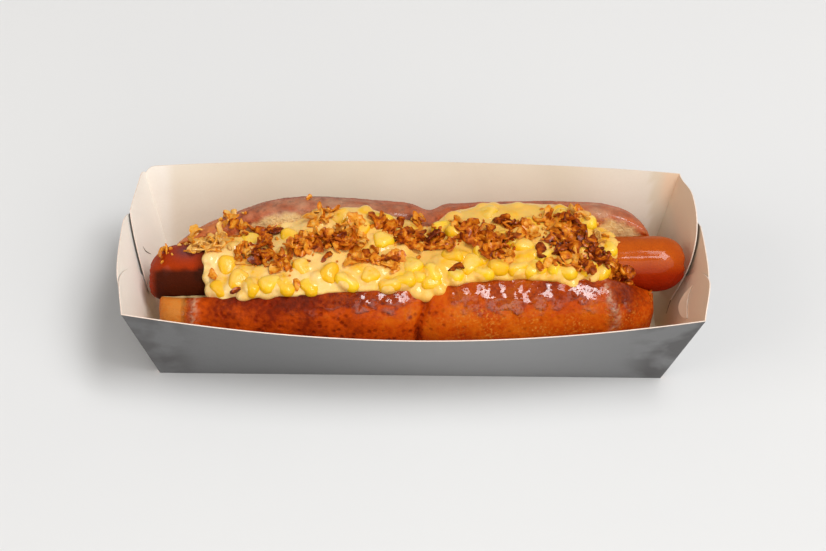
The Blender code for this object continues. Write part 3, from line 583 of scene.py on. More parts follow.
def brioche_finish():
    """Egg washed crust, from gold to dark red brown, and pale torn crumb."""
    bun = Finish("brioche", IOR=1.45, Specular_IOR_Level=0.05, Coat_Roughness=0.06,
                 Coat_IOR=1.62)
    bake = bun.painted("bake")
    crumb = bun.painted("crumb")
    cloud = bun.group(MOTTLE, Scale=0.11)
    fleck = bun.group(MOTTLE, Scale=0.55, Low=0.35, High=0.7)
    depth = bun.math("ADD", bake, bun.level(cloud, -0.13, 0.12))
    depth = bun.math("ADD", depth, bun.level(fleck, -0.07, 0.09))
    crust = bun.ramp(depth, ((0.0, (0.64, 0.22, 0.035)), (0.28, (0.66, 0.140, 0.004)),
                             (0.55, (0.53, 0.064, 0.001)), (0.8, (0.24, 0.020, 0.001)),
                             (1.0, (0.11, 0.010, 0.002))))
    pits = bun.math("MULTIPLY", bun.group(SPECKLE, Scale=0.36, Size=0.46, Share=0.6), 1.4)
    pits = bun.math("MULTIPLY", pits, bun.painted("pitted"))
    crust = bun.blend(bun.level(pits, 0.0, 0.65), crust, (0.20, 0.010, 0.001))
    grains = bun.group(MOTTLE, Scale=1.0, Low=0.52, High=0.70)
    gold = bun.math("MULTIPLY", grains, bun.painted("golden"))
    crust = bun.blend(gold, crust, (0.74, 0.32, 0.045))
    # Painted sheen: pale painted reflection and highlight streaks on the crust.
    crust = bun.blend(bun.painted("painted_sheen"), crust, (0.66, 0.36, 0.21))
    soft = bun.group(MOTTLE, Scale=0.7)
    bread = bun.blend(soft, (0.78, 0.50, 0.20), (0.88, 0.66, 0.34))
    bun.set("Base Color", bun.blend(crumb, crust, bread))
    bun.set("Roughness", bun.level(crumb, 0.42, 0.85))
    broken = bun.group(MOTTLE, Scale=0.95, Low=0.38, High=0.48)
    glaze = bun.painted("glaze")
    bun.set("Coat Weight", bun.math("MULTIPLY", glaze, bun.level(broken, 0.08, 1.0)))
    skin = bun.group(WRINKLE, Broad_Scale=0.45, Fine_Scale=1.75, Fine_Share=0.85)
    relief = bun.math("MULTIPLY", skin, bun.level(glaze, 0.4, 3.2))
    bun.bump(bun.math("SUBTRACT", relief, bun.level(pits, 0.0, 0.8)), 0.55)
    return bun.material


def sausage_finish():
    """Smoked casing: glossy orange brown; painted shade makes it deeper red low on its front
    and, with char, dark under its left tip.
    """
    meat = Finish("sausage", IOR=1.42, Specular_IOR_Level=0.03, Coat_Roughness=0.10,
                  Coat_IOR=1.6)
    cloud = meat.group(MOTTLE, Scale=0.10)
    grain = meat.group(MOTTLE, Scale=1.3, Low=0.35, High=0.65)
    casing = meat.blend(cloud, (0.50, 0.070, 0.001), (0.59, 0.103, 0.002))
    casing = meat.blend(meat.level(grain, 0.0, 0.20), casing, (0.58, 0.12, 0.008))
    # Painted shade: deeper red low on the front; the left part is its own redder colour.
    casing = meat.blend(meat.painted("red_and_shade"), casing, (0.36, 0.016, 0.001))
    # Painted reflection: a dark grey violet patch on top of the left tip.
    casing = meat.blend(meat.painted("grey_reflection"), casing, (0.105, 0.060, 0.070))
    # Painted shade with char: near black under the left tip and next to the sauce.
    meat.set("Base Color", meat.blend(meat.painted("char_and_shade"), casing, (0.035, 0.009, 0.004)))
    meat.set("Roughness", meat.level(grain, 0.45, 0.60))
    polish = meat.math("MULTIPLY", meat.level(meat.painted("char_and_shade"), 0.40, 0.05),
                       meat.level(meat.painted("red_and_shade"), 1.0, 0.20))
    meat.set("Coat Weight", polish)
    meat.bump(meat.group(WRINKLE, Broad_Scale=0.22, Fine_Scale=2.2, Fine_Share=0.9), 0.60)
    return meat.material


def sauce_finish():
    """Thick warm yellow cheese sauce, deeper where it lies thin over a kernel."""
    cheese = Finish("cheese_sauce", Roughness=0.32, IOR=1.42, Specular_IOR_Level=0.22,
                    Coat_Weight=0.75, Coat_Roughness=0.07, Subsurface_Weight=0.15,
                    Subsurface_Scale=0.003)
    cloud = cheese.group(MOTTLE, Scale=0.10, Low=0.32, High=0.68)
    spot = cheese.group(MOTTLE, Scale=0.24, Low=0.50, High=0.62)
    rich = cheese.blend(cloud, (0.90, 0.49, 0.062), (0.92, 0.56, 0.130))
    pale = cheese.blend(cloud, (0.93, 0.585, 0.165), (0.94, 0.655, 0.265))
    plain = cheese.blend(cheese.painted("creamy"), rich, pale)
    thin = cheese.math("MULTIPLY", cheese.painted("thin"), cheese.level(spot, 0.55, 1.0))
    cheese.set("Base Color", cheese.blend(cheese.level(thin, 0.0, 0.95), plain,
                                          (0.92, 0.48, 0.010)))
    cheese.bump(cheese.group(WRINKLE, Broad_Scale=0.25, Fine_Scale=0.9, Fine_Share=0.2), 0.35)
    return cheese.material


def corn_finish():
    """Sweetcorn: deep gold skin, paler where the sauce lies over it."""
    corn = Finish("corn", Roughness=0.3, IOR=1.42, Specular_IOR_Level=0.12, Coat_Weight=0.4,
                  Coat_Roughness=0.08, Subsurface_Weight=0.12, Subsurface_Scale=0.003)
    cloud = corn.group(MOTTLE, Scale=0.30, Low=0.40, High=0.60)
    skin = corn.blend(corn.painted("tone"), (0.88, 0.44, 0.003), (0.92, 0.57, 0.012))
    film = corn.level(cloud, 0.45, 1.0)
    veil = corn.math("MULTIPLY", film, corn.painted("veil"))
    corn.set("Base Color", corn.blend(veil, skin, (0.93, 0.62, 0.17)))
    corn.bump(corn.group(WRINKLE, Broad_Scale=0.4, Fine_Scale=1.2, Fine_Share=0.15), 0.3)
    return corn.material


def onion_finish():
    """Fried onion: pale tan to dark red brown, darkest at its edges."""
    onion = Finish("fried_onion", IOR=1.45, Roughness=0.45, Specular_IOR_Level=0.05,
                   Coat_Weight=0.28, Coat_Roughness=0.18)
    cloud = onion.group(MOTTLE, Scale=0.5)
    depth = onion.math("ADD", onion.painted("toast"), onion.level(cloud, -0.34, 0.20))
    depth = onion.math("ADD", depth, onion.level(onion.painted("rim"), -0.04, 0.10))
    onion.set("Base Color", onion.ramp(depth, (
        (0.0, (0.78, 0.45, 0.12)), (0.25, (0.80, 0.345, 0.032)), (0.5, (0.66, 0.18, 0.007)),
        (0.75, (0.40, 0.068, 0.003)), (1.0, (0.14, 0.018, 0.003)))))
    onion.bump(onion.group(WRINKLE, Broad_Scale=0.7, Fine_Scale=2.4, Fine_Share=0.35), 0.35)
    return onion.material


def two_tone_finish(name, scale, first, second, **sockets):
    """A plain matt surface in soft patches of two close colours."""
    matt = Finish(name, **sockets)
    patches = matt.group(MOTTLE, Scale=scale)
    matt.set("Base Color", matt.blend(patches, first, second))
    return matt.material


def card_edge_finish():
    """The cut edge: pale, pinkish fibre."""
    return two_tone_finish("card_edge", 1.2, (0.80, 0.62, 0.50), (0.90, 0.78, 0.68),
                           Roughness=0.8)


def cut_shadow_finish():
    """Painted shadow: the dark slit of a cut through the card."""
    return two_tone_finish("cut_shadow", 1.2, (0.10, 0.06, 0.035), (0.16, 0.10, 0.06),
                           Roughness=0.9, Specular_IOR_Level=0.1)


def floor_finish():
    return two_tone_finish("floor", 0.004, (0.755, 0.755, 0.755), (0.77, 0.77, 0.765),
                           Roughness=0.75, Specular_IOR_Level=0.2)


# ---- Tray ------------------------------------------------------------------
WALL_RUN = RIM_HALF_WIDTH - BASE_HALF_WIDTH
WALL_SLANT = math.hypot(WALL_RUN, RIM_HEIGHT)
END_LEAN = (RIM_HALF_LENGTH - BASE_HALF_LENGTH) / RIM_HEIGHT
WALL_ROWS = [0.0] + [lerp(FOLD_ROW, 1.0, i / WALL_ROW_COUNT) for i in range(WALL_ROW_COUNT + 1)]


def rim_share(side, end, distance):
    """How much of its height the card keeps near a corner: one corner is cut round."""
    if side < 0 or end > 0 or distance >= CORNER_REACH:
        return 1.0
    near = 1.0 - distance / CORNER_REACH
    return 1.0 - CORNER_ROUNDING / RIM_HEIGHT * near**2


def wall_point(side, layer, s, t):
    """Point of a long wall: s runs from -1 to 1 along it and t up from its fold."""
    run = WALL_RUN + SIDE_BOW * (1.0 - s * s)
    rise = math.sqrt(WALL_SLANT**2 - run**2)
    from_corner = (1.0 - abs(s)) * RIM_HALF_LENGTH
    t *= rim_share(side, math.copysign(1, s), from_corner)
    x = s * (BASE_HALF_LENGTH + layer * LAYER_PITCH + END_LEAN * RIM_HEIGHT * t)
    return Vector((x, side * (BASE_HALF_WIDTH + run * t), CARD / 2 + rise * t))


def end_point(end, layer, y, height):
    """Point of a layer of card at an end of the tray."""
    across = clamp(y / (BASE_HALF_WIDTH + WALL_RUN * height / RIM_HEIGHT), -1.0, 1.0)
    bow = END_BOW * height / RIM_HEIGHT * (1.0 - across**2) * (1.0 - END_BOW_SKEW * across)
    x = BASE_HALF_LENGTH + layer * LAYER_PITCH + END_LEAN * height + bow
    return Vector((end * x, y, CARD / 2 + height))


def tab_edges(end, side, c):
    """Lower and upper edge of a petal tab at c, from its fold (0) to its tip (1)."""
    height, turn_y, tip_y, power, tip_top, tip_foot = TABS[end, side]
    hinge = side * RIM_HALF_WIDTH
    turn = (turn_y - hinge) / (tip_y - hinge)
    low = lerp(FOLD_ROW * RIM_HEIGHT, tip_foot, c)
    if c <= turn:
        keep = rim_share(side, end, c * abs(tip_y - hinge))
        return low, keep * lerp(RIM_HEIGHT, height, smoothstep(c / turn))
    fall = 1.0 - (1.0 - ((c - turn) / (1.0 - turn))**power)**(1 / power)
    return low, lerp(height, tip_top, fall)


def panel_top(v):
    """Height of an end panel at v, from its front edge (-1) to its back edge (1)."""
    corner = PANEL_CORNER_DROP * abs(v)**PANEL_CORNER_POWER
    slope = max(0.0, v - PANEL_BACK_FROM) / (1.0 - PANEL_BACK_FROM)
    return PANEL_HEIGHT * (1.0 - corner) * (1.0 - PANEL_BACK_DROP * slope**PANEL_BACK_POWER)


def add_grid(bm, rows):
    """Join rows of equally many points by quads."""
    for near, far in zip(rows, rows[1:]):
        for i in range(len(near) - 1):
            bm.faces.new((near[i], near[i + 1], far[i + 1], far[i]))


def add_tab(bm, end, side, hinge_verts):
    """A petal tab folded in from the end of a long wall, which gives hinge_verts."""
    tip_y = TABS[end, side][2]
    columns = [hinge_verts]
    for i in range(1, TAB_COLUMNS + 1):
        c = lerp(i / TAB_COLUMNS, 0.5 - 0.5 * math.cos(math.pi * i / TAB_COLUMNS), FINE_ENDS)
        low, high = tab_edges(end, side, c)
        column = []
        for t in WALL_ROWS[1:]:
            hinge_y = side * (BASE_HALF_WIDTH + WALL_RUN * t)
            height = lerp(low, high, (t - FOLD_ROW) / (1.0 - FOLD_ROW))
            point = end_point(end, SIDE_LAYER[side], lerp(hinge_y, tip_y, c), height)
            column.append(bm.verts.new(point))
        columns.append(column)
    add_grid(bm, columns)


def add_end_panel(bm, end, edge):
    """Join the base's end edge, its points from front to back, to the end panel."""
    grid = []
    for t in WALL_ROWS[:1] + WALL_ROWS[2:]:
        half = lerp(BASE_HALF_WIDTH - PANEL_INSET, PANEL_SHOULDER * RIM_HALF_WIDTH, t)
        places = [-1.0 + 2.0 * i / PANEL_COLUMNS for i in range(PANEL_COLUMNS + 1)]
        grid.append([bm.verts.new(end_point(end, PANEL_LAYER, v * half, panel_top(v) * t))
                     for v in places])
    add_grid(bm, grid)
    bm.faces.new(edge + grid[0][::-1])


def face_inwards(bm):
    """Turn every face of the open sheet so that its front is the tray's inside."""
    bmesh.ops.recalc_face_normals(bm, faces=bm.faces)
    bm.normal_update()
    base = min(bm.faces, key=lambda f: f.calc_center_median().length)
    if base.normal.z < 0.0:
        bmesh.ops.reverse_faces(bm, faces=bm.faces)


def give_thickness(obj, thickness):
    """Thicken a sheet: the inside first, then the outside, then its cut edges."""
    solid = obj.modifiers.new("card", "SOLIDIFY")
    solid.thickness = thickness * MM
    solid.offset = 0.0
    solid.material_offset = 1
    solid.material_offset_rim = 2
    bake_modifiers(obj)


def build_tray(materials):
    """The card as one bent sheet, which is then given its thickness."""
    bm = bmesh.new()
    walls = {}
    even = [2 * i / WALL_COLUMNS - 1 for i in range(WALL_COLUMNS + 1)]
    places = [lerp(u, math.sin(math.pi / 2 * u), FINE_ENDS) for u in even]
    for side in SIDES:
        walls[side] = [[bm.verts.new(wall_point(side, SIDE_LAYER[side], s, t)) for s in places]
                       for t in WALL_ROWS]
        add_grid(bm, walls[side])
    front, back = walls[-1][0], walls[1][0]
    middle = [[bm.verts.new(a.co.lerp(b.co, share)) for a, b in zip(front, back)]
              for share in BASE_SHARES]
    strips = [front] + middle + [back]
    add_grid(bm, strips)
    for end, index in zip(ENDS, (0, WALL_COLUMNS)):
        for side in SIDES:
            add_tab(bm, end, side, [row[index] for row in walls[side][1:]])
        add_end_panel(bm, end, [strip[index] for strip in strips])
    face_inwards(bm)
    tray = add_object("tray_card", bm, materials)
    give_thickness(tray, CARD)
    tray.data.set_sharp_from_angle(angle=CARD_CREASE)
    # Painted bounce light with grease, low at the right end next to the bun.
    paint(tray, "grease_and_bounce", lambda p, n: 0.5 * bell((p.x - 103) / 12) * bell((p.y + 14) / 15)
          * ease(p.z, 34, 6))
    # Painted light: the inside is paler at the left end and towards the right end.
    paint(tray, "pale", lambda p, n: 0.35 * ease(p.x, -60, -100) + 0.65 * ease(p.x, -101, -107)
          + 0.5 * ease(p.x, 60, 100) * (p.x < 104))
    # Painted shade with bounce light: tan on the right end's tabs, which face away from the
    # light.
    paint(tray, "tab_shade", lambda p, n: 0.8 * ease(p.x, 105, 111)
          * max(ease(p.y, -14, -22), ease(p.z, 28, 40)))
    paint(tray, "wear", lambda p, n: ease(abs(p.x), 84, 100) * (0.15 + 0.85 * abs(n.y)))
    # The grey print is lighter right of the middle.
    paint(tray, "lighter_print", lambda p, n: bell((p.x - 30) / 65))
    return finish_piece(tray, "card", "tray")


def smooth_line(points, steps):
    """Even points along a smooth line through some (y, z) places."""
    rows = [(float(i), *point) for i, point in enumerate(points)]
    places = [(len(points) - 1) * k / steps for k in range(steps + 1)]
    return [(along(rows, at, 1), along(rows, at, 2)) for at in places]


def inside_end(end, layer, y, z, lift):
    """Point a little inside the inner face of a layer at an end of the tray."""
    return end_point(end, layer, y, z - CARD / 2) - Vector((end * (CARD / 2 + lift), 0, 0))


def build_cut_shadows(material):
    """Thin dark strips of painted shadow where the tabs are cut through."""
    bm = bmesh.new()
    for end, layer, width, points in CARD_CUTS:
        line = smooth_line(points, CUT_STEPS)
        sides = []
        for offset in (-width / 2, width / 2):
            sides.append([])
            for k, (y, z) in enumerate(line):
                near, far = line[max(0, k - 1)], line[min(CUT_STEPS, k + 1)]
                run = Vector((far[0] - near[0], far[1] - near[1])).normalized()
                taper = math.sqrt(max(0.05, 1.0 - (2 * k / CUT_STEPS - 1)**2))
                sides[-1].append(bm.verts.new(
                    inside_end(end, layer, y - run.y * offset * taper,
                               z + run.x * offset * taper, CUT_LIFT)))
        add_grid(bm, sides)
    shadow_strips = add_object("cut_shadows", bm, [material])
    give_thickness(shadow_strips, CUT_THICKNESS)
    return finish_piece(shadow_strips, "card")


def build_tongue(materials):
    """The crescent shaped locking tongue that stands off the right front tab."""
    bm = bmesh.new()
    outer, inner = (smooth_line(edge, TONGUE_STEPS) for edge in (TONGUE_OUTER, TONGUE_INNER))
    rows = []
    for share in TONGUE_ROWS:
        row = []
        for k, (a, b) in enumerate(zip(outer, inner)):
            bulge = math.sin(math.pi * k / TONGUE_STEPS)
            lift = TONGUE_GAP + TONGUE_LIFT * bulge * (1.0 - share)**1.5
            row.append(bm.verts.new(inside_end(1, 0, lerp(a[0], b[0], share),
                                               lerp(a[1], b[1], share), CARD / 2 + lift)))
        rows.append(row)
    add_grid(bm, rows)
    tongue = add_object("tray_tongue", bm, materials)
    give_thickness(tongue, CARD)
    tongue.data.set_sharp_from_angle(angle=CARD_CREASE)
    # The same painted shade as the tab it lies on.
    paint(tongue, "tab_shade", lambda p, n: 0.75)
    return finish_piece(tongue, "card")


# ---- Sausage ---------------------------------------------------------------
def axis(x):
    """Place of the sausage's axis at x, without its tip's bend: y and z."""
    return AXIS_Y + AXIS_Y_SLOPE * x, AXIS_Z + AXIS_Z_SLOPE * x


def from_axis(p):
    """How far a place lies behind the axis, or in front of it if under 0."""
    return p.y - axis(p.x)[0]


def droop(x):
    """How far the sausage's left tip has bent down at x."""
    past = max(0.0, DROOP_FROM - x) / (DROOP_FROM - SAUSAGE_LEFT)
    return DROOP * past**2


def sausage_radius(x):
    cap = min(x - SAUSAGE_LEFT, SAUSAGE_RIGHT - x) / SAUSAGE_CAP
    if cap >= 1.0:
        return SAUSAGE_RADIUS
    cap = max(0.0, cap)
    return SAUSAGE_RADIUS * (1.0 - (1.0 - cap)**SAUSAGE_CAP_POWER)**(1 / SAUSAGE_CAP_POWER)


def casing_offset(p, normal):
    """Relief of the casing: slow swells, and folds drawn in at the two tips."""
    tip = min(p.x - SAUSAGE_LEFT, SAUSAGE_RIGHT - p.x)
    y, z = axis(p.x)
    turn = math.atan2(p.z - z, p.y - y)
    gathers = 0.28 * bell(tip / 3.6) * math.cos(7 * turn + 1.4 * math.sin(2 * turn))
    dimple = -1.5 * bell(tip / 0.7)
    swell = 0.22 * noise.noise(p / 17.0) + 0.06 * noise.noise(p / 4.0)
    return gathers + dimple + swell


def build_sausage(material):
    caps = [1.0 - math.cos(math.pi / 2 * i / CAP_STEPS) for i in range(1, CAP_STEPS + 1)]
    places = [SAUSAGE_LEFT + SAUSAGE_CAP * c for c in [CAP_FIRST] + caps]
    start, stop = places[-1], SAUSAGE_RIGHT - SAUSAGE_CAP
    places += [lerp(start, stop, i / MIDDLE_STEPS) for i in range(1, MIDDLE_STEPS)]
    places += [SAUSAGE_RIGHT - SAUSAGE_CAP * c for c in caps[::-1] + [CAP_FIRST]]
    turns = [2 * math.pi * j / SAUSAGE_SIDES for j in range(SAUSAGE_SIDES)]
    sections = []
    for x in places:
        y, z = axis(x)
        r = sausage_radius(x)
        sections.append([(x, y + r * math.cos(a), z - droop(x) + r * math.sin(a))
                         for a in turns])
    sausage = add_object("sausage_casing", loft(sections), [material])
    displace(sausage, casing_offset)

    def facing(p):
        """Height over the axis, seen from half way up the front."""
        return (from_axis(p) + (p.z - axis(p.x)[1])) / math.sqrt(2)

    def char_and_shade(p, n):
        """Painted shade with char: dark under the left tip and, more softly, over it next to
        the sauce.
        """
        ragged = 1.2 * noise.noise(p / 3.5)
        below = 0.90 * ease(facing(p) - ragged, 2.6, 0.0)
        above = 0.75 * ease(facing(p), -6, 3) * ease(p.x, -91, -85)
        return min(0.97, ease(p.x, -76, -82) * (below * ease(p.x, -108.5, -104.5) + above))

    paint(sausage, "char_and_shade", char_and_shade)
    # Painted shade: deeper red low on the front, right of the middle; the left part is its own
    # redder colour.
    paint(sausage, "red_and_shade", lambda p, n: 0.75 * ease(p.x, -70, -82)
          + 0.95 * ease(facing(p), 3, -6) * ease(p.x, 0, 60))
    # Painted reflection: a dark grey violet patch on top of the left tip.
    paint(sausage, "grey_reflection", lambda p, n: 0.8 * bell((p.x + 93) / 5)
          * bell((from_axis(p) - 1) / 4) * ease(p.z - axis(p.x)[1], 0, 8))
    return finish_piece(sausage, "sausage", "sausage")


# ---- Bun -------------------------------------------------------------------
def side_of(across):
    """The side of the bun that a distance from the axis lies on."""
    return "front" if across < 0 else "back"


def end_scale(side, x):
    """How much of its full section one side of the bun keeps at x."""
    end, limit = ("left", BUN_LEFT) if x < 0 else ("right", BUN_RIGHT)
    power = ROUNDING[side, end]
    scale = max(0.0, 1.0 - min(1.0, x / limit)**power)**(1 / power)
    crease, depth, width = CREASE[side]
    return scale * (1.0 - depth * bell((x - crease) / width))


def scaled_point(x, across, height):
    """Place a point of the full section, given from the axis, at the station x."""
    weight = smoothstep(0.5 + across / (2 * SAUSAGE_RADIUS))
    scale = lerp(end_scale("front", x), end_scale("back", x), weight)
    centre = lerp(CENTRE_HEIGHT["front"], CENTRE_HEIGHT["back"], weight)
    return x, axis(x)[0] + scale * across, centre + scale * (height - centre)


def crest_out(side, x):
    """How far from the axis the bun's crest really runs at x."""
    return end_scale(side, x) * along(LIPS[side], x)


def inner_wall_height(x, crest, crest_height, across):
    """Height of the split's side wall, which falls from the crest to the channel."""
    foot = axis(x)[1] - SPLIT_FOOT_DROP
    start = SAUSAGE_RADIUS + CHANNEL_CLEARANCE
    return lerp(foot, crest_height, ease(across, start, crest))


def lip(side, x):
    """The crest's distance from the axis and its height, and that side's half width."""
    return (along(LIPS[side], x, column) for column in (1, 2, 3))


def side_profile(side, x):
    """Half a section, from the split out over the lip and down to the foot."""
    crest, crest_height, half_width = lip(side, x)
    inner_count, upper_count, lower_count = PROFILE_STEPS
    upper, lower = 2 / UPPER_POWER[side], 2 / LOWER_POWER
    points = []
    for i in range(inner_count):
        across = lerp(SAUSAGE_RADIUS + CHANNEL_CLEARANCE, crest, i / inner_count)
        points.append((across, inner_wall_height(x, crest, crest_height, across)))
    for i in range(upper_count + 1):
        turn = math.pi / 2 * i / upper_count
        points.append((lerp(crest, half_width, math.sin(turn)**upper),
                       lerp(BUN_WIDEST_HEIGHT, crest_height, math.cos(turn)**upper)))
    for i in range(1, lower_count):
        turn = math.pi / 2 * i / (lower_count - 1)
        out = max(0.0, math.cos(turn))**lower
        points.append((lerp(BUN_FOOT_HALF_WIDTH, half_width, out),
                       lerp(BUN_WIDEST_HEIGHT, BUN_FLOOR, math.sin(turn)**lower)))
    return points


def bun_height(x, y):
    """Height of the bun's upper surface outside the channel."""
    across = y - axis(x)[0]
    side = side_of(across)
    scale, power, centre = end_scale(side, x), UPPER_POWER[side], CENTRE_HEIGHT[side]
    if scale <= 0.0 or abs(across) < SAUSAGE_RADIUS:
        return -math.inf
    across = abs(across) / scale
    crest, crest_height, half_width = lip(side, x)
    if across >= half_width:
        return -math.inf
    if across < crest:
        height = inner_wall_height(x, crest, crest_height, across)
    else:
        out = (across - crest) / (half_width - crest)
        height = lerp(BUN_WIDEST_HEIGHT, crest_height, (1.0 - out**power)**(1 / power))
    return centre + scale * (height - centre)


def fold_x(top, foot, z):
    """A fold leans: its place along the bun at a height."""
    return lerp(foot, top, ease(z, 32, 47))


def ridge_x(z):
    """The raised fold before the right end curves out half way up."""
    top, middle = END_RIDGE[:2]
    return lerp(top, middle, bell((z - 36) / 7))


def glaze_at(p, n):
    """Egg glaze: strong in patches along the front lip, thin elsewhere."""
    if from_axis(p) > 0:
        return 0.35
    patch = max(strength * smoothstep(1.5 - abs(p.x - x) / half)
                for x, half, strength in GLAZE_PATCHES)
    upper = smoothstep((n.z - 0.62 + 0.25 * noise.noise(p / 5.0)) / 0.16)
    upper = max(upper, ease(p.x, -86, -88), bell((p.x - 81) / 2.5))
    return min(1.0, 0.05 + 0.95 * patch * lerp(0.04, 1.0, upper))


def crumb_at(p, n):
    """Torn bread: the split's inner walls, which show behind the sauce at the left."""
    across = from_axis(p)
    ragged = 0.75 * noise.noise(p / 3.0)
    bare = bell((p.x + 56) / 16) + ease(p.x, 76, 82)
    margin = 3.0 - 2.0 * min(1.0, bare) * (across > 0)
    inside = crest_out(side_of(across), p.x) - margin + ragged - abs(across)
    return max(ease(inside, 0.0, 1.2) * ease(n.z, -0.9, -0.5), 0.8 * ease(p.z, 6, 0))


def bake_at(p, n):
    """How dark the crust is, from 0 to 1: baked least at its ends and foot, with painted shade
    in the main front crease.
    """
    if from_axis(p) > 0:
        dark = 0.62 + 0.12 * ease(p.x, -80, -30) * ease(p.x, 20, -40)
        dark -= 0.30 * ease(p.x, -70, -84)
    else:
        dark = lerp(0.69, 0.45, ease(p.x, -46, 4))
        upper = lerp(0.26, 0.07, ease(p.x, -45, -25)) + 0.12 * ease(p.x, 40, 55)
        dark += upper * ease(p.z, 40, 46) + 0.22 * ease(p.x, 79, 88)
        ragged = 1.2 * noise.noise(p / 3.0)
        dark -= 0.52 * ease(p.x - ragged, -90.5, -93.0) + 0.10 * ease(p.x, -82, -88)
        # Painted shade: darker along the main crease of the front.
        dark += 0.30 * bell((p.x - fold_x(*FRONT_FOLDS[0][:2], p.z)) / 1.6)
    dark -= 0.08 * ease(p.x, 74, 94) * ease(p.z, 40, 31)
    return max(0.0, dark - 0.25 * ease(p.z, 24, 6))


def painted_sheen_at(p, n):
    """Painted sheen: a pale painted reflection on the top of the back lip, and painted
    highlight streaks near the front's two ends.
    """
    if from_axis(p) < 0:
        # Painted highlight streaks along the raised fold before the right end and before the
        # left end.
        glint = 0.75 * bell((p.x - ridge_x(p.z)) / 1.5) * ease(p.z, 20, 26)
        glint += 0.7 * bell((p.x - LEFT_GLINT) / 1.5) * ease(p.z, 33, 36)
        return clamp(glint * (0.55 + 1.8 * noise.noise(p / 1.2)), 0.0, 0.85)
    # Painted reflection on the back lip's top, where it faces up and forwards.
    reach = 0.28 + 0.50 * bell((p.x + 34) / 30) + 0.50 * bell((p.x - 76) / 10)
    broken = 0.75 + 0.5 * noise.noise(p / 4.0)
    facing = ease(n.z, 0.1, 0.6) * ease(n.y, 0.62, 0.37)
    return clamp(reach * broken * facing, 0.0, 0.9)


def crust_offset(p, normal):
    """Relief of the crust: swells, folds and, under the glaze, fine crinkles."""
    lift = 0.55 * noise.noise(p / 19.0) + 0.22 * noise.noise(p / 7.0)
    if from_axis(p) < 0:
        for top, foot, depth, width, low, high in FRONT_FOLDS:
            reach = ease(p.z, low, low + 5) * ease(p.z, high, high - 3)
            lift -= depth * reach * bell((p.x - fold_x(top, foot, p.z)) / width)
        height, width = END_RIDGE[2:]
        lift += height * bell((p.x - ridge_x(p.z)) / width) * ease(p.z, 18, 26)
    crinkle = noise.fractal(p / 3.2, 1.0, 2.0, 3)
    return lift + (0.06 + 0.28 * glaze_at(p, normal)) * crinkle


def build_channel():
    """The trough for the sausage: a half round with upright sides."""
    radius = SAUSAGE_RADIUS + CHANNEL_CLEARANCE
    sections = []
    for x in (SAUSAGE_LEFT - CHANNEL_PAST, 0.0, SAUSAGE_RIGHT + CHANNEL_PAST):
        y, z = axis(x)
        ring = [(x, y + radius, z + CHANNEL_RISE)]
        for j in range(CHANNEL_STEPS + 1):
            turn = math.pi * j / CHANNEL_STEPS
            ring.append((x, y + radius * math.cos(turn), z - radius * math.sin(turn)))
        ring.append((x, y - radius, z + CHANNEL_RISE))
        sections.append(ring)
    return add_object("channel", loft(sections))


def build_bun(material):
    last = BUN_END_STEPS[-1]
    count = round((BUN_RIGHT - BUN_LEFT - 2 * last) / BUN_STEP)
    places = [BUN_LEFT + step for step in BUN_END_STEPS]
    places += [lerp(BUN_LEFT + last, BUN_RIGHT - last, i / count) for i in range(1, count)]
    places += [BUN_RIGHT - step for step in BUN_END_STEPS[::-1]]
    sections = []
    for x in places:
        front = [(-across, height) for across, height in side_profile("front", x)]
        sections.append([scaled_point(x, across, height)
                         for across, height in front[::-1] + side_profile("back", x)])
    bun = add_object("bun_crust", loft(sections), [material])
    channel = build_channel()
    cut = bun.modifiers.new("channel", "BOOLEAN")
    cut.operation = "DIFFERENCE"
    cut.object = channel
    bake_modifiers(bun)
    bpy.data.objects.remove(channel)
    remesh(bun, BUN_VOXEL, 2)
    displace(bun, crust_offset)
    paint(bun, "glaze", glaze_at)
    paint(bun, "crumb", crumb_at)
    paint(bun, "bake", bake_at)
    paint(bun, "painted_sheen", painted_sheen_at)
    paint(bun, "golden", lambda p, n: 0.8 * ease(p.x, 0, 25) * ease(n.z, 0.8, 0.5)
          * smoothstep(0.5 + noise.noise(p / 9.0)))
    paint(bun, "pitted", lambda p, n: lerp(1.0, 0.35, ease(p.x, -10, 30)) * ease(p.x, -88, -84))
    return finish_piece(bun, "brioche", "bun")


# ---- Sauce -----------------------------------------------------------------
def support(x, y):
    """Height of what carries the sauce at a place: the bun or the sausage."""
    axis_y, axis_z = axis(x)
    reach, across = sausage_radius(x), y - axis_y
    casing = axis_z + math.sqrt(reach**2 - across**2) if abs(across) < reach else -math.inf
    return max(casing, bun_height(x, y), axis_z + CREVICE_HEIGHT)


def sauce_limits(x):
    """Front and back edge of the sauce at x, drawn in at its two ends."""
    middle = (SAUCE_LEFT + SAUCE_RIGHT) / 2
    reach = (SAUCE_RIGHT - SAUCE_LEFT) / 2
    u = min(1.0, abs(x - middle) / reach)
    fullness = (1.0 - u**SAUCE_END_POWER)**(1 / SAUCE_END_POWER)
    front, back = (crest_out(side, x) + along(SAUCE_OVERHANG[side], x)
                   for side in ("front", "back"))
    axis_y = axis(x)[0]
    return axis_y - front * fullness, axis_y + back * fullness, fullness


def sauce_top(x, v):
    """Point on the sauce's upper surface, v = 0 at its front and 1 at its back edge."""
    front, back, fullness = sauce_limits(x)
    y = lerp(front, back, v)
    edge = SAUCE_EDGE * fullness + SAUCE_LEAST
    crown = SAUCE_CROWN * fullness * max(0.0, 1.0 - abs(2.0 * v - 1.0)**SAUCE_CROWN_POWER)**0.5
    line = lerp(support(x, front), support(x, back), v) + 0.4 * edge + crown
    lumps = 0.7 * noise.noise((x / 13.0, y / 11.0, 3.0)) * fullness
    return Vector((x, y, max(line + lumps, support(x, y) + edge)))


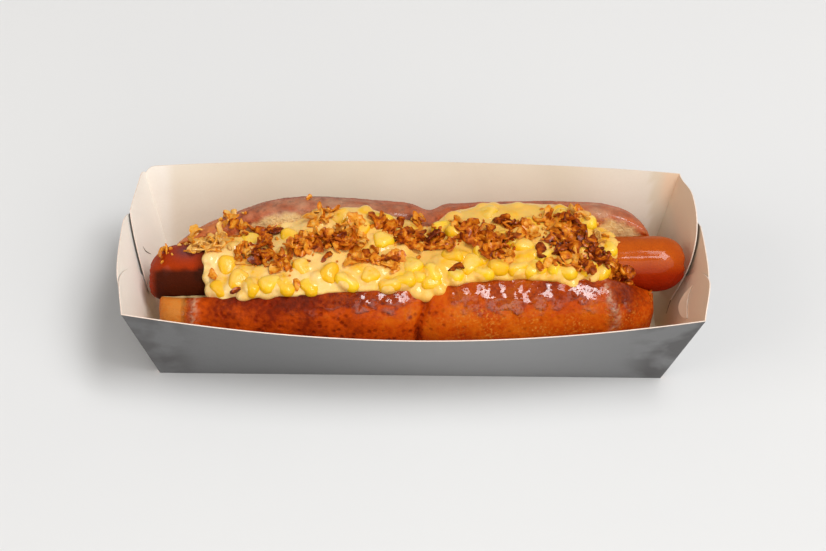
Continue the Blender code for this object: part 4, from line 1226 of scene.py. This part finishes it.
def add_ball(bm, centre, radii, turn=Euler()):
    """A closed ellipsoid, to be run together with what it touches."""
    matrix = Matrix.LocRotScale(centre, turn, Vector(radii))
    bmesh.ops.create_icosphere(bm, subdivisions=3, radius=1.0, matrix=matrix)


def kernel_place(x, v):
    """A kernel's centre, under the sauce's surface."""
    sink = KERNEL_SINK + 1.0 * noise.noise((x / 3, 5 * v, 1))
    return sauce_top(x, clamp(v, 0.06, 0.93)) - Vector((0, 0, sink))


def kernel_turns():
    """The seeded lean of every kernel."""
    rng = random.Random(SEED)
    return [Euler((rng.uniform(-0.5, 0.5), rng.uniform(-0.45, 0.45),
                   rng.uniform(0, 2 * math.pi))) for _ in KERNELS]


def build_sauce(material):
    count = round((SAUCE_RIGHT - SAUCE_LEFT) / SAUCE_STEP)
    places = [lerp(SAUCE_LEFT + SAUCE_TRIM, SAUCE_RIGHT - SAUCE_TRIM, i / count)
              for i in range(count + 1)]
    across = [0.5 - 0.5 * math.cos(math.pi * i / SAUCE_COLUMNS)
              for i in range(SAUCE_COLUMNS + 1)]
    sections = []
    for x in places:
        top = [sauce_top(x, v) for v in across]
        bottom = [Vector((x, p.y, support(x, p.y) - SAUCE_SINK)) for p in top[1:-1]]
        sections.append(top + bottom[::-1])
    bm = loft(sections)
    for (x, v), turn in zip(KERNELS, kernel_turns()):
        add_ball(bm, kernel_place(x, v) - Vector((0, 0, 0.5)), KERNEL_HALF_SIZE, turn)
    for x, v, radius, drop in SAUCE_DROPS:
        add_ball(bm, sauce_top(x, v) - Vector((0, 0, drop)), (radius, radius, 0.85 * radius))
    centres = [kernel_place(x, v) for x, v in KERNELS]
    rng = random.Random(SEED + 4)
    for _ in range(LUMP_COUNT):
        x, v = rng.uniform(SAUCE_LEFT + 5, SAUCE_RIGHT - 5), rng.uniform(0.04, 0.96)
        depth = rng.uniform(*LUMP_DEPTHS)
        centre = sauce_top(x, v) - Vector((0, 0, depth))
        if depth < SHALLOW:
            centres.append(centre)
        add_ball(bm, centre, [half * rng.uniform(*LUMP_SIZES) for half in KERNEL_HALF_SIZE],
                 Euler((rng.uniform(-0.4, 0.4), rng.uniform(-0.4, 0.4), rng.uniform(0, 6.3))))
    sauce = add_object("cheese_sauce", bm, [material])
    remesh(sauce, SAUCE_VOXEL, 4)
    displace(sauce, lambda p, n: 0.45 * noise.noise(p / 6.0) + 0.12 * noise.noise(p / 2.6))
    paint(sauce, "creamy", lambda p, n: ease(p.x, 20, -70))
    near = KDTree(len(centres))
    for index, centre in enumerate(centres):
        near.insert(centre, index)
    near.balance()
    paint(sauce, "thin", lambda p, n: ease(near.find(p)[2], *THIN_REACH))
    return finish_piece(sauce, "filling", "topping")


# ---- Corn ------------------------------------------------------------------
def kernel_points(rng):
    """A kernel as rings of points round its length: a blunt wedge with a dimple."""
    half_x, half_y, half_z = (half * rng.uniform(0.9, 1.08) for half in KERNEL_HALF_SIZE)
    rings = []
    for i in range(KERNEL_RINGS):
        turn = math.pi * (i + 0.5) / KERNEL_RINGS
        x = -half_x * math.copysign(abs(math.cos(turn))**0.8, math.cos(turn))
        width = math.sin(turn)**0.62
        taper = lerp(0.62, 1.05, smoothstep((x + half_x) / (1.5 * half_x)))
        ring = []
        for j in range(KERNEL_SIDES):
            a = 2 * math.pi * j / KERNEL_SIDES
            cos, sin = math.cos(a), math.sin(a)
            y = half_y * width * taper * math.copysign(abs(cos)**0.85, cos)
            z = half_z * width * math.copysign(abs(sin)**0.85, sin)
            dimple = 0.7 * bell((x - 0.5) / 1.7) * bell(y / 1.6) * (sin > 0)
            ring.append(Vector((x, y, z - dimple)))
        rings.append(ring)
    return rings


def build_corn(material):
    rng = random.Random(SEED + 1)
    bm = bmesh.new()
    tones, veils = [], []
    for (x, v), turn in zip(KERNELS, kernel_turns()):
        verts = add_rings(bm, kernel_points(rng))
        matrix = Matrix.LocRotScale(kernel_place(x, v), turn, None)
        bmesh.ops.transform(bm, matrix=matrix, verts=verts)
        tones += [rng.random()] * len(verts)
        veils += [rng.uniform(0.25, 1.0)] * len(verts)
    bmesh.ops.recalc_face_normals(bm, faces=bm.faces)
    corn = add_object("sweetcorn", bm, [material])
    displace(corn, lambda p, n: 0.22 * noise.noise(p / 2.6))
    store(corn, "tone", tones)
    normals = [vert.normal for vert in corn.data.vertices]
    store(corn, "veil", [veil * ease(n.z + 0.25 * n.y, 0.55, 0.90)
                         for veil, n in zip(veils, normals)])
    return finish_piece(corn, "corn")


# ---- Onion -----------------------------------------------------------------
class Ground:
    """What the onion falls on: the surface of the other pieces, from above."""

    def __init__(self, pieces):
        points, faces = [], []
        for piece in pieces:
            start = len(points)
            points += [v.co.copy() for v in piece.data.vertices]
            faces += [[start + i for i in f.vertices] for f in piece.data.polygons]
        self.tree = BVHTree.FromPolygons(points, faces)

    def at(self, x, y):
        """The highest surface at a place and its normal, or None."""
        start = Vector((x * MM, y * MM, FALL_FROM * MM))
        point, normal, _, _ = self.tree.ray_cast(start, Vector((0, 0, -1)))
        return (point / MM, normal) if point else None


def flake_sheet(rng, length, width):
    """Points of one curled, crinkled scrap of onion, as a grid."""
    columns, rows = FLAKE_GRID
    curl = rng.uniform(0.3, 1.9) * rng.choice((-1, 1))
    cup = rng.uniform(-0.6, 0.6)
    radius = length / curl
    drift = Vector((rng.uniform(0, 90), rng.uniform(0, 90), rng.uniform(0, 90)))
    grid = []
    for i in range(columns):
        s = i / (columns - 1) - 0.5
        ragged = 1.0 + 0.5 * noise.noise(drift + Vector((6.0 * s, 0, 0)))
        half = width / 2 * (1.0 - 0.7 * abs(2 * s)**2.5) * ragged
        line = []
        for j in range(rows):
            t = 2 * j / (rows - 1) - 1
            p = Vector((radius * math.sin(curl * s), t * half + 0.5 * math.sin(4 * s),
                        radius * (1 - math.cos(curl * s)) + cup * half * t * t))
            line.append(p + 0.75 * noise.noise_vector(drift + p / 2.6))
        grid.append(line)
    return grid


def add_flake(bm, record, grid, spot, turn, toast):
    """Put one scrap at a spot, and note how toasted each of its points is."""
    matrix = Matrix.LocRotScale(spot, turn, None)
    verts = [[bm.verts.new(matrix @ p) for p in line] for line in grid]
    add_grid(bm, verts)
    last_column, last_row = len(verts) - 1, len(verts[0]) - 1
    for i, line in enumerate(verts):
        for j in range(len(line)):
            rim = i in (0, last_column) or j in (0, last_row)
            record.append((toast, float(rim)))


def build_onion(material, ground):
    rng = random.Random(SEED + 2)
    bm = bmesh.new()
    record = []
    for x, y, spread_x, spread_y, count, height, toast in ONION_CLUMPS:
        for _ in range(count):
            dx, dy = rng.gauss(0, 0.6), rng.gauss(0, 0.6)
            found = ground.at(x + spread_x * dx, y + spread_y * dy)
            if not found:
                continue
            pile = height * rng.uniform(0.0, 1.0) * bell(math.hypot(dx, dy))
            tilt = found[1].to_track_quat("Z", "X")
            turn = Euler((rng.uniform(-FLAKE_TILT, FLAKE_TILT),
                          rng.uniform(-FLAKE_TILT, FLAKE_TILT),
                          rng.uniform(0, 2 * math.pi))).to_quaternion()
            grid = flake_sheet(rng, rng.uniform(*FLAKE_LENGTHS), rng.uniform(*FLAKE_WIDTHS))
            add_flake(bm, record, grid, found[0] + Vector((0, 0, FLAKE_LIFT + pile)),
                      tilt @ turn, toast + rng.uniform(-0.25, 0.25))
    for x, y, length, width, degrees, toast in ONION_SINGLES:
        point, _ = ground.at(x, y)
        lean = rng.uniform(-0.2, 0.2)
        turn = Euler((lean, 0, math.radians(degrees))).to_quaternion()
        add_flake(bm, record, flake_sheet(rng, length, width), point + Vector((0, 0, 0.5)),
                  turn, toast)
    bmesh.ops.recalc_face_normals(bm, faces=bm.faces)
    onion = add_object("fried_onion", bm, [material])
    store(onion, "toast", [toast for toast, _ in record])
    store(onion, "rim", [rim for _, rim in record])
    give_thickness(onion, FLAKE_THICKNESS)
    onion.data.set_sharp_from_angle(angle=FLAKE_CREASE)
    return finish_piece(onion, "onion")


def build_crumbs(material, ground):
    """Loose crumbs of onion round the clumps."""
    rng = random.Random(SEED + 3)
    bm = bmesh.new()
    toasts = []
    for _ in range(CRUMB_COUNT):
        x, y, spread_x, spread_y, _, _, toast = rng.choice(ONION_CLUMPS)
        found = ground.at(x + 1.3 * spread_x * rng.gauss(0, 0.8),
                          y + 1.3 * spread_y * rng.gauss(0, 0.8))
        if not found:
            continue
        radius = rng.uniform(*CRUMB_RADII)
        turn = Euler([rng.uniform(0, math.pi) for _ in range(3)])
        matrix = Matrix.LocRotScale(found[0] + Vector((0, 0, 0.3 * radius)), turn,
                                    Vector((radius * rng.uniform(1.0, 1.9), radius,
                                            radius * rng.uniform(0.5, 0.9))))
        made = bmesh.ops.create_icosphere(bm, subdivisions=2, radius=1.0, matrix=matrix)
        toasts += [toast + rng.uniform(-0.2, 0.2)] * len(made["verts"])
    crumbs = add_object("onion_crumbs", bm, [material])
    store(crumbs, "toast", toasts)
    store(crumbs, "rim", [0.0] * len(toasts))
    displace(crumbs, lambda p, n: 0.35 * noise.noise(p / 0.8))
    return finish_piece(crumbs, "onion")


# ---- Stage -----------------------------------------------------------------
def build_floor(material):
    bm = bmesh.new()
    half = FLOOR_SIZE / 2 / MM
    bmesh.ops.create_grid(bm, x_segments=1, y_segments=1, size=half)
    floor = add_object("floor", bm, [material])


def aim(obj, place_at, target):
    obj.location = place_at
    obj.rotation_euler = (target - place_at).to_track_quat("-Z", "Y").to_euler()


def build_lights():
    for name, (direction, distance, size, power, colour) in LIGHTS.items():
        light = bpy.data.lights.new(name, "AREA")
        light.shape = "SQUARE"
        light.size = size
        light.energy = power
        light.color = colour
        lamp = bpy.data.objects.new(name, light)
        bpy.context.scene.collection.objects.link(lamp)
        aim(lamp, Vector(direction).normalized() * distance, CAMERA_TARGET)
    world = bpy.data.worlds.new("studio")
    world.use_nodes = True
    background = world.node_tree.nodes["Background"]
    background.inputs["Color"].default_value = (*SKY_COLOUR, 1.0)
    background.inputs["Strength"].default_value = SKY_STRENGTH
    bpy.context.scene.world = world


def build_camera():
    azimuth, elevation, roll = (math.radians(a) for a in
                                (CAMERA_AZIMUTH, CAMERA_ELEVATION, CAMERA_ROLL))
    forward = Vector((math.sin(azimuth) * math.cos(elevation),
                      math.cos(azimuth) * math.cos(elevation), -math.sin(elevation)))
    level = Vector((math.cos(azimuth), -math.sin(azimuth), 0.0))
    upright = level.cross(forward)
    right = math.cos(roll) * level + math.sin(roll) * upright
    up = math.cos(roll) * upright - math.sin(roll) * level
    data = bpy.data.cameras.new("camera")
    data.lens = CAMERA_LENS
    camera = bpy.data.objects.new("camera", data)
    bpy.context.scene.collection.objects.link(camera)
    turn = Matrix((right, up, -forward)).transposed()
    camera.matrix_world = Matrix.LocRotScale(
        CAMERA_TARGET - CAMERA_DISTANCE * forward, turn.to_quaternion(), None)
    bpy.context.scene.camera = camera


def set_colours():
    view = bpy.context.scene.view_settings
    view.view_transform = "Standard"
    view.look = "None"


# ---- The whole -------------------------------------------------------------
build_camera()
build_lights()
set_colours()
build_floor(floor_finish())
card = [card_inside_finish(), card_print_finish(), card_edge_finish()]
build_tray(card)
build_cut_shadows(cut_shadow_finish())
build_tongue([card[0], card[0], card[2]])
sausage = build_sausage(sausage_finish())
bun = build_bun(brioche_finish())
sauce = build_sauce(sauce_finish())
corn = build_corn(corn_finish())
onion_material = onion_finish()
ground = Ground((sausage, bun, sauce, corn))
build_onion(onion_material, ground)
build_crumbs(onion_material, ground)
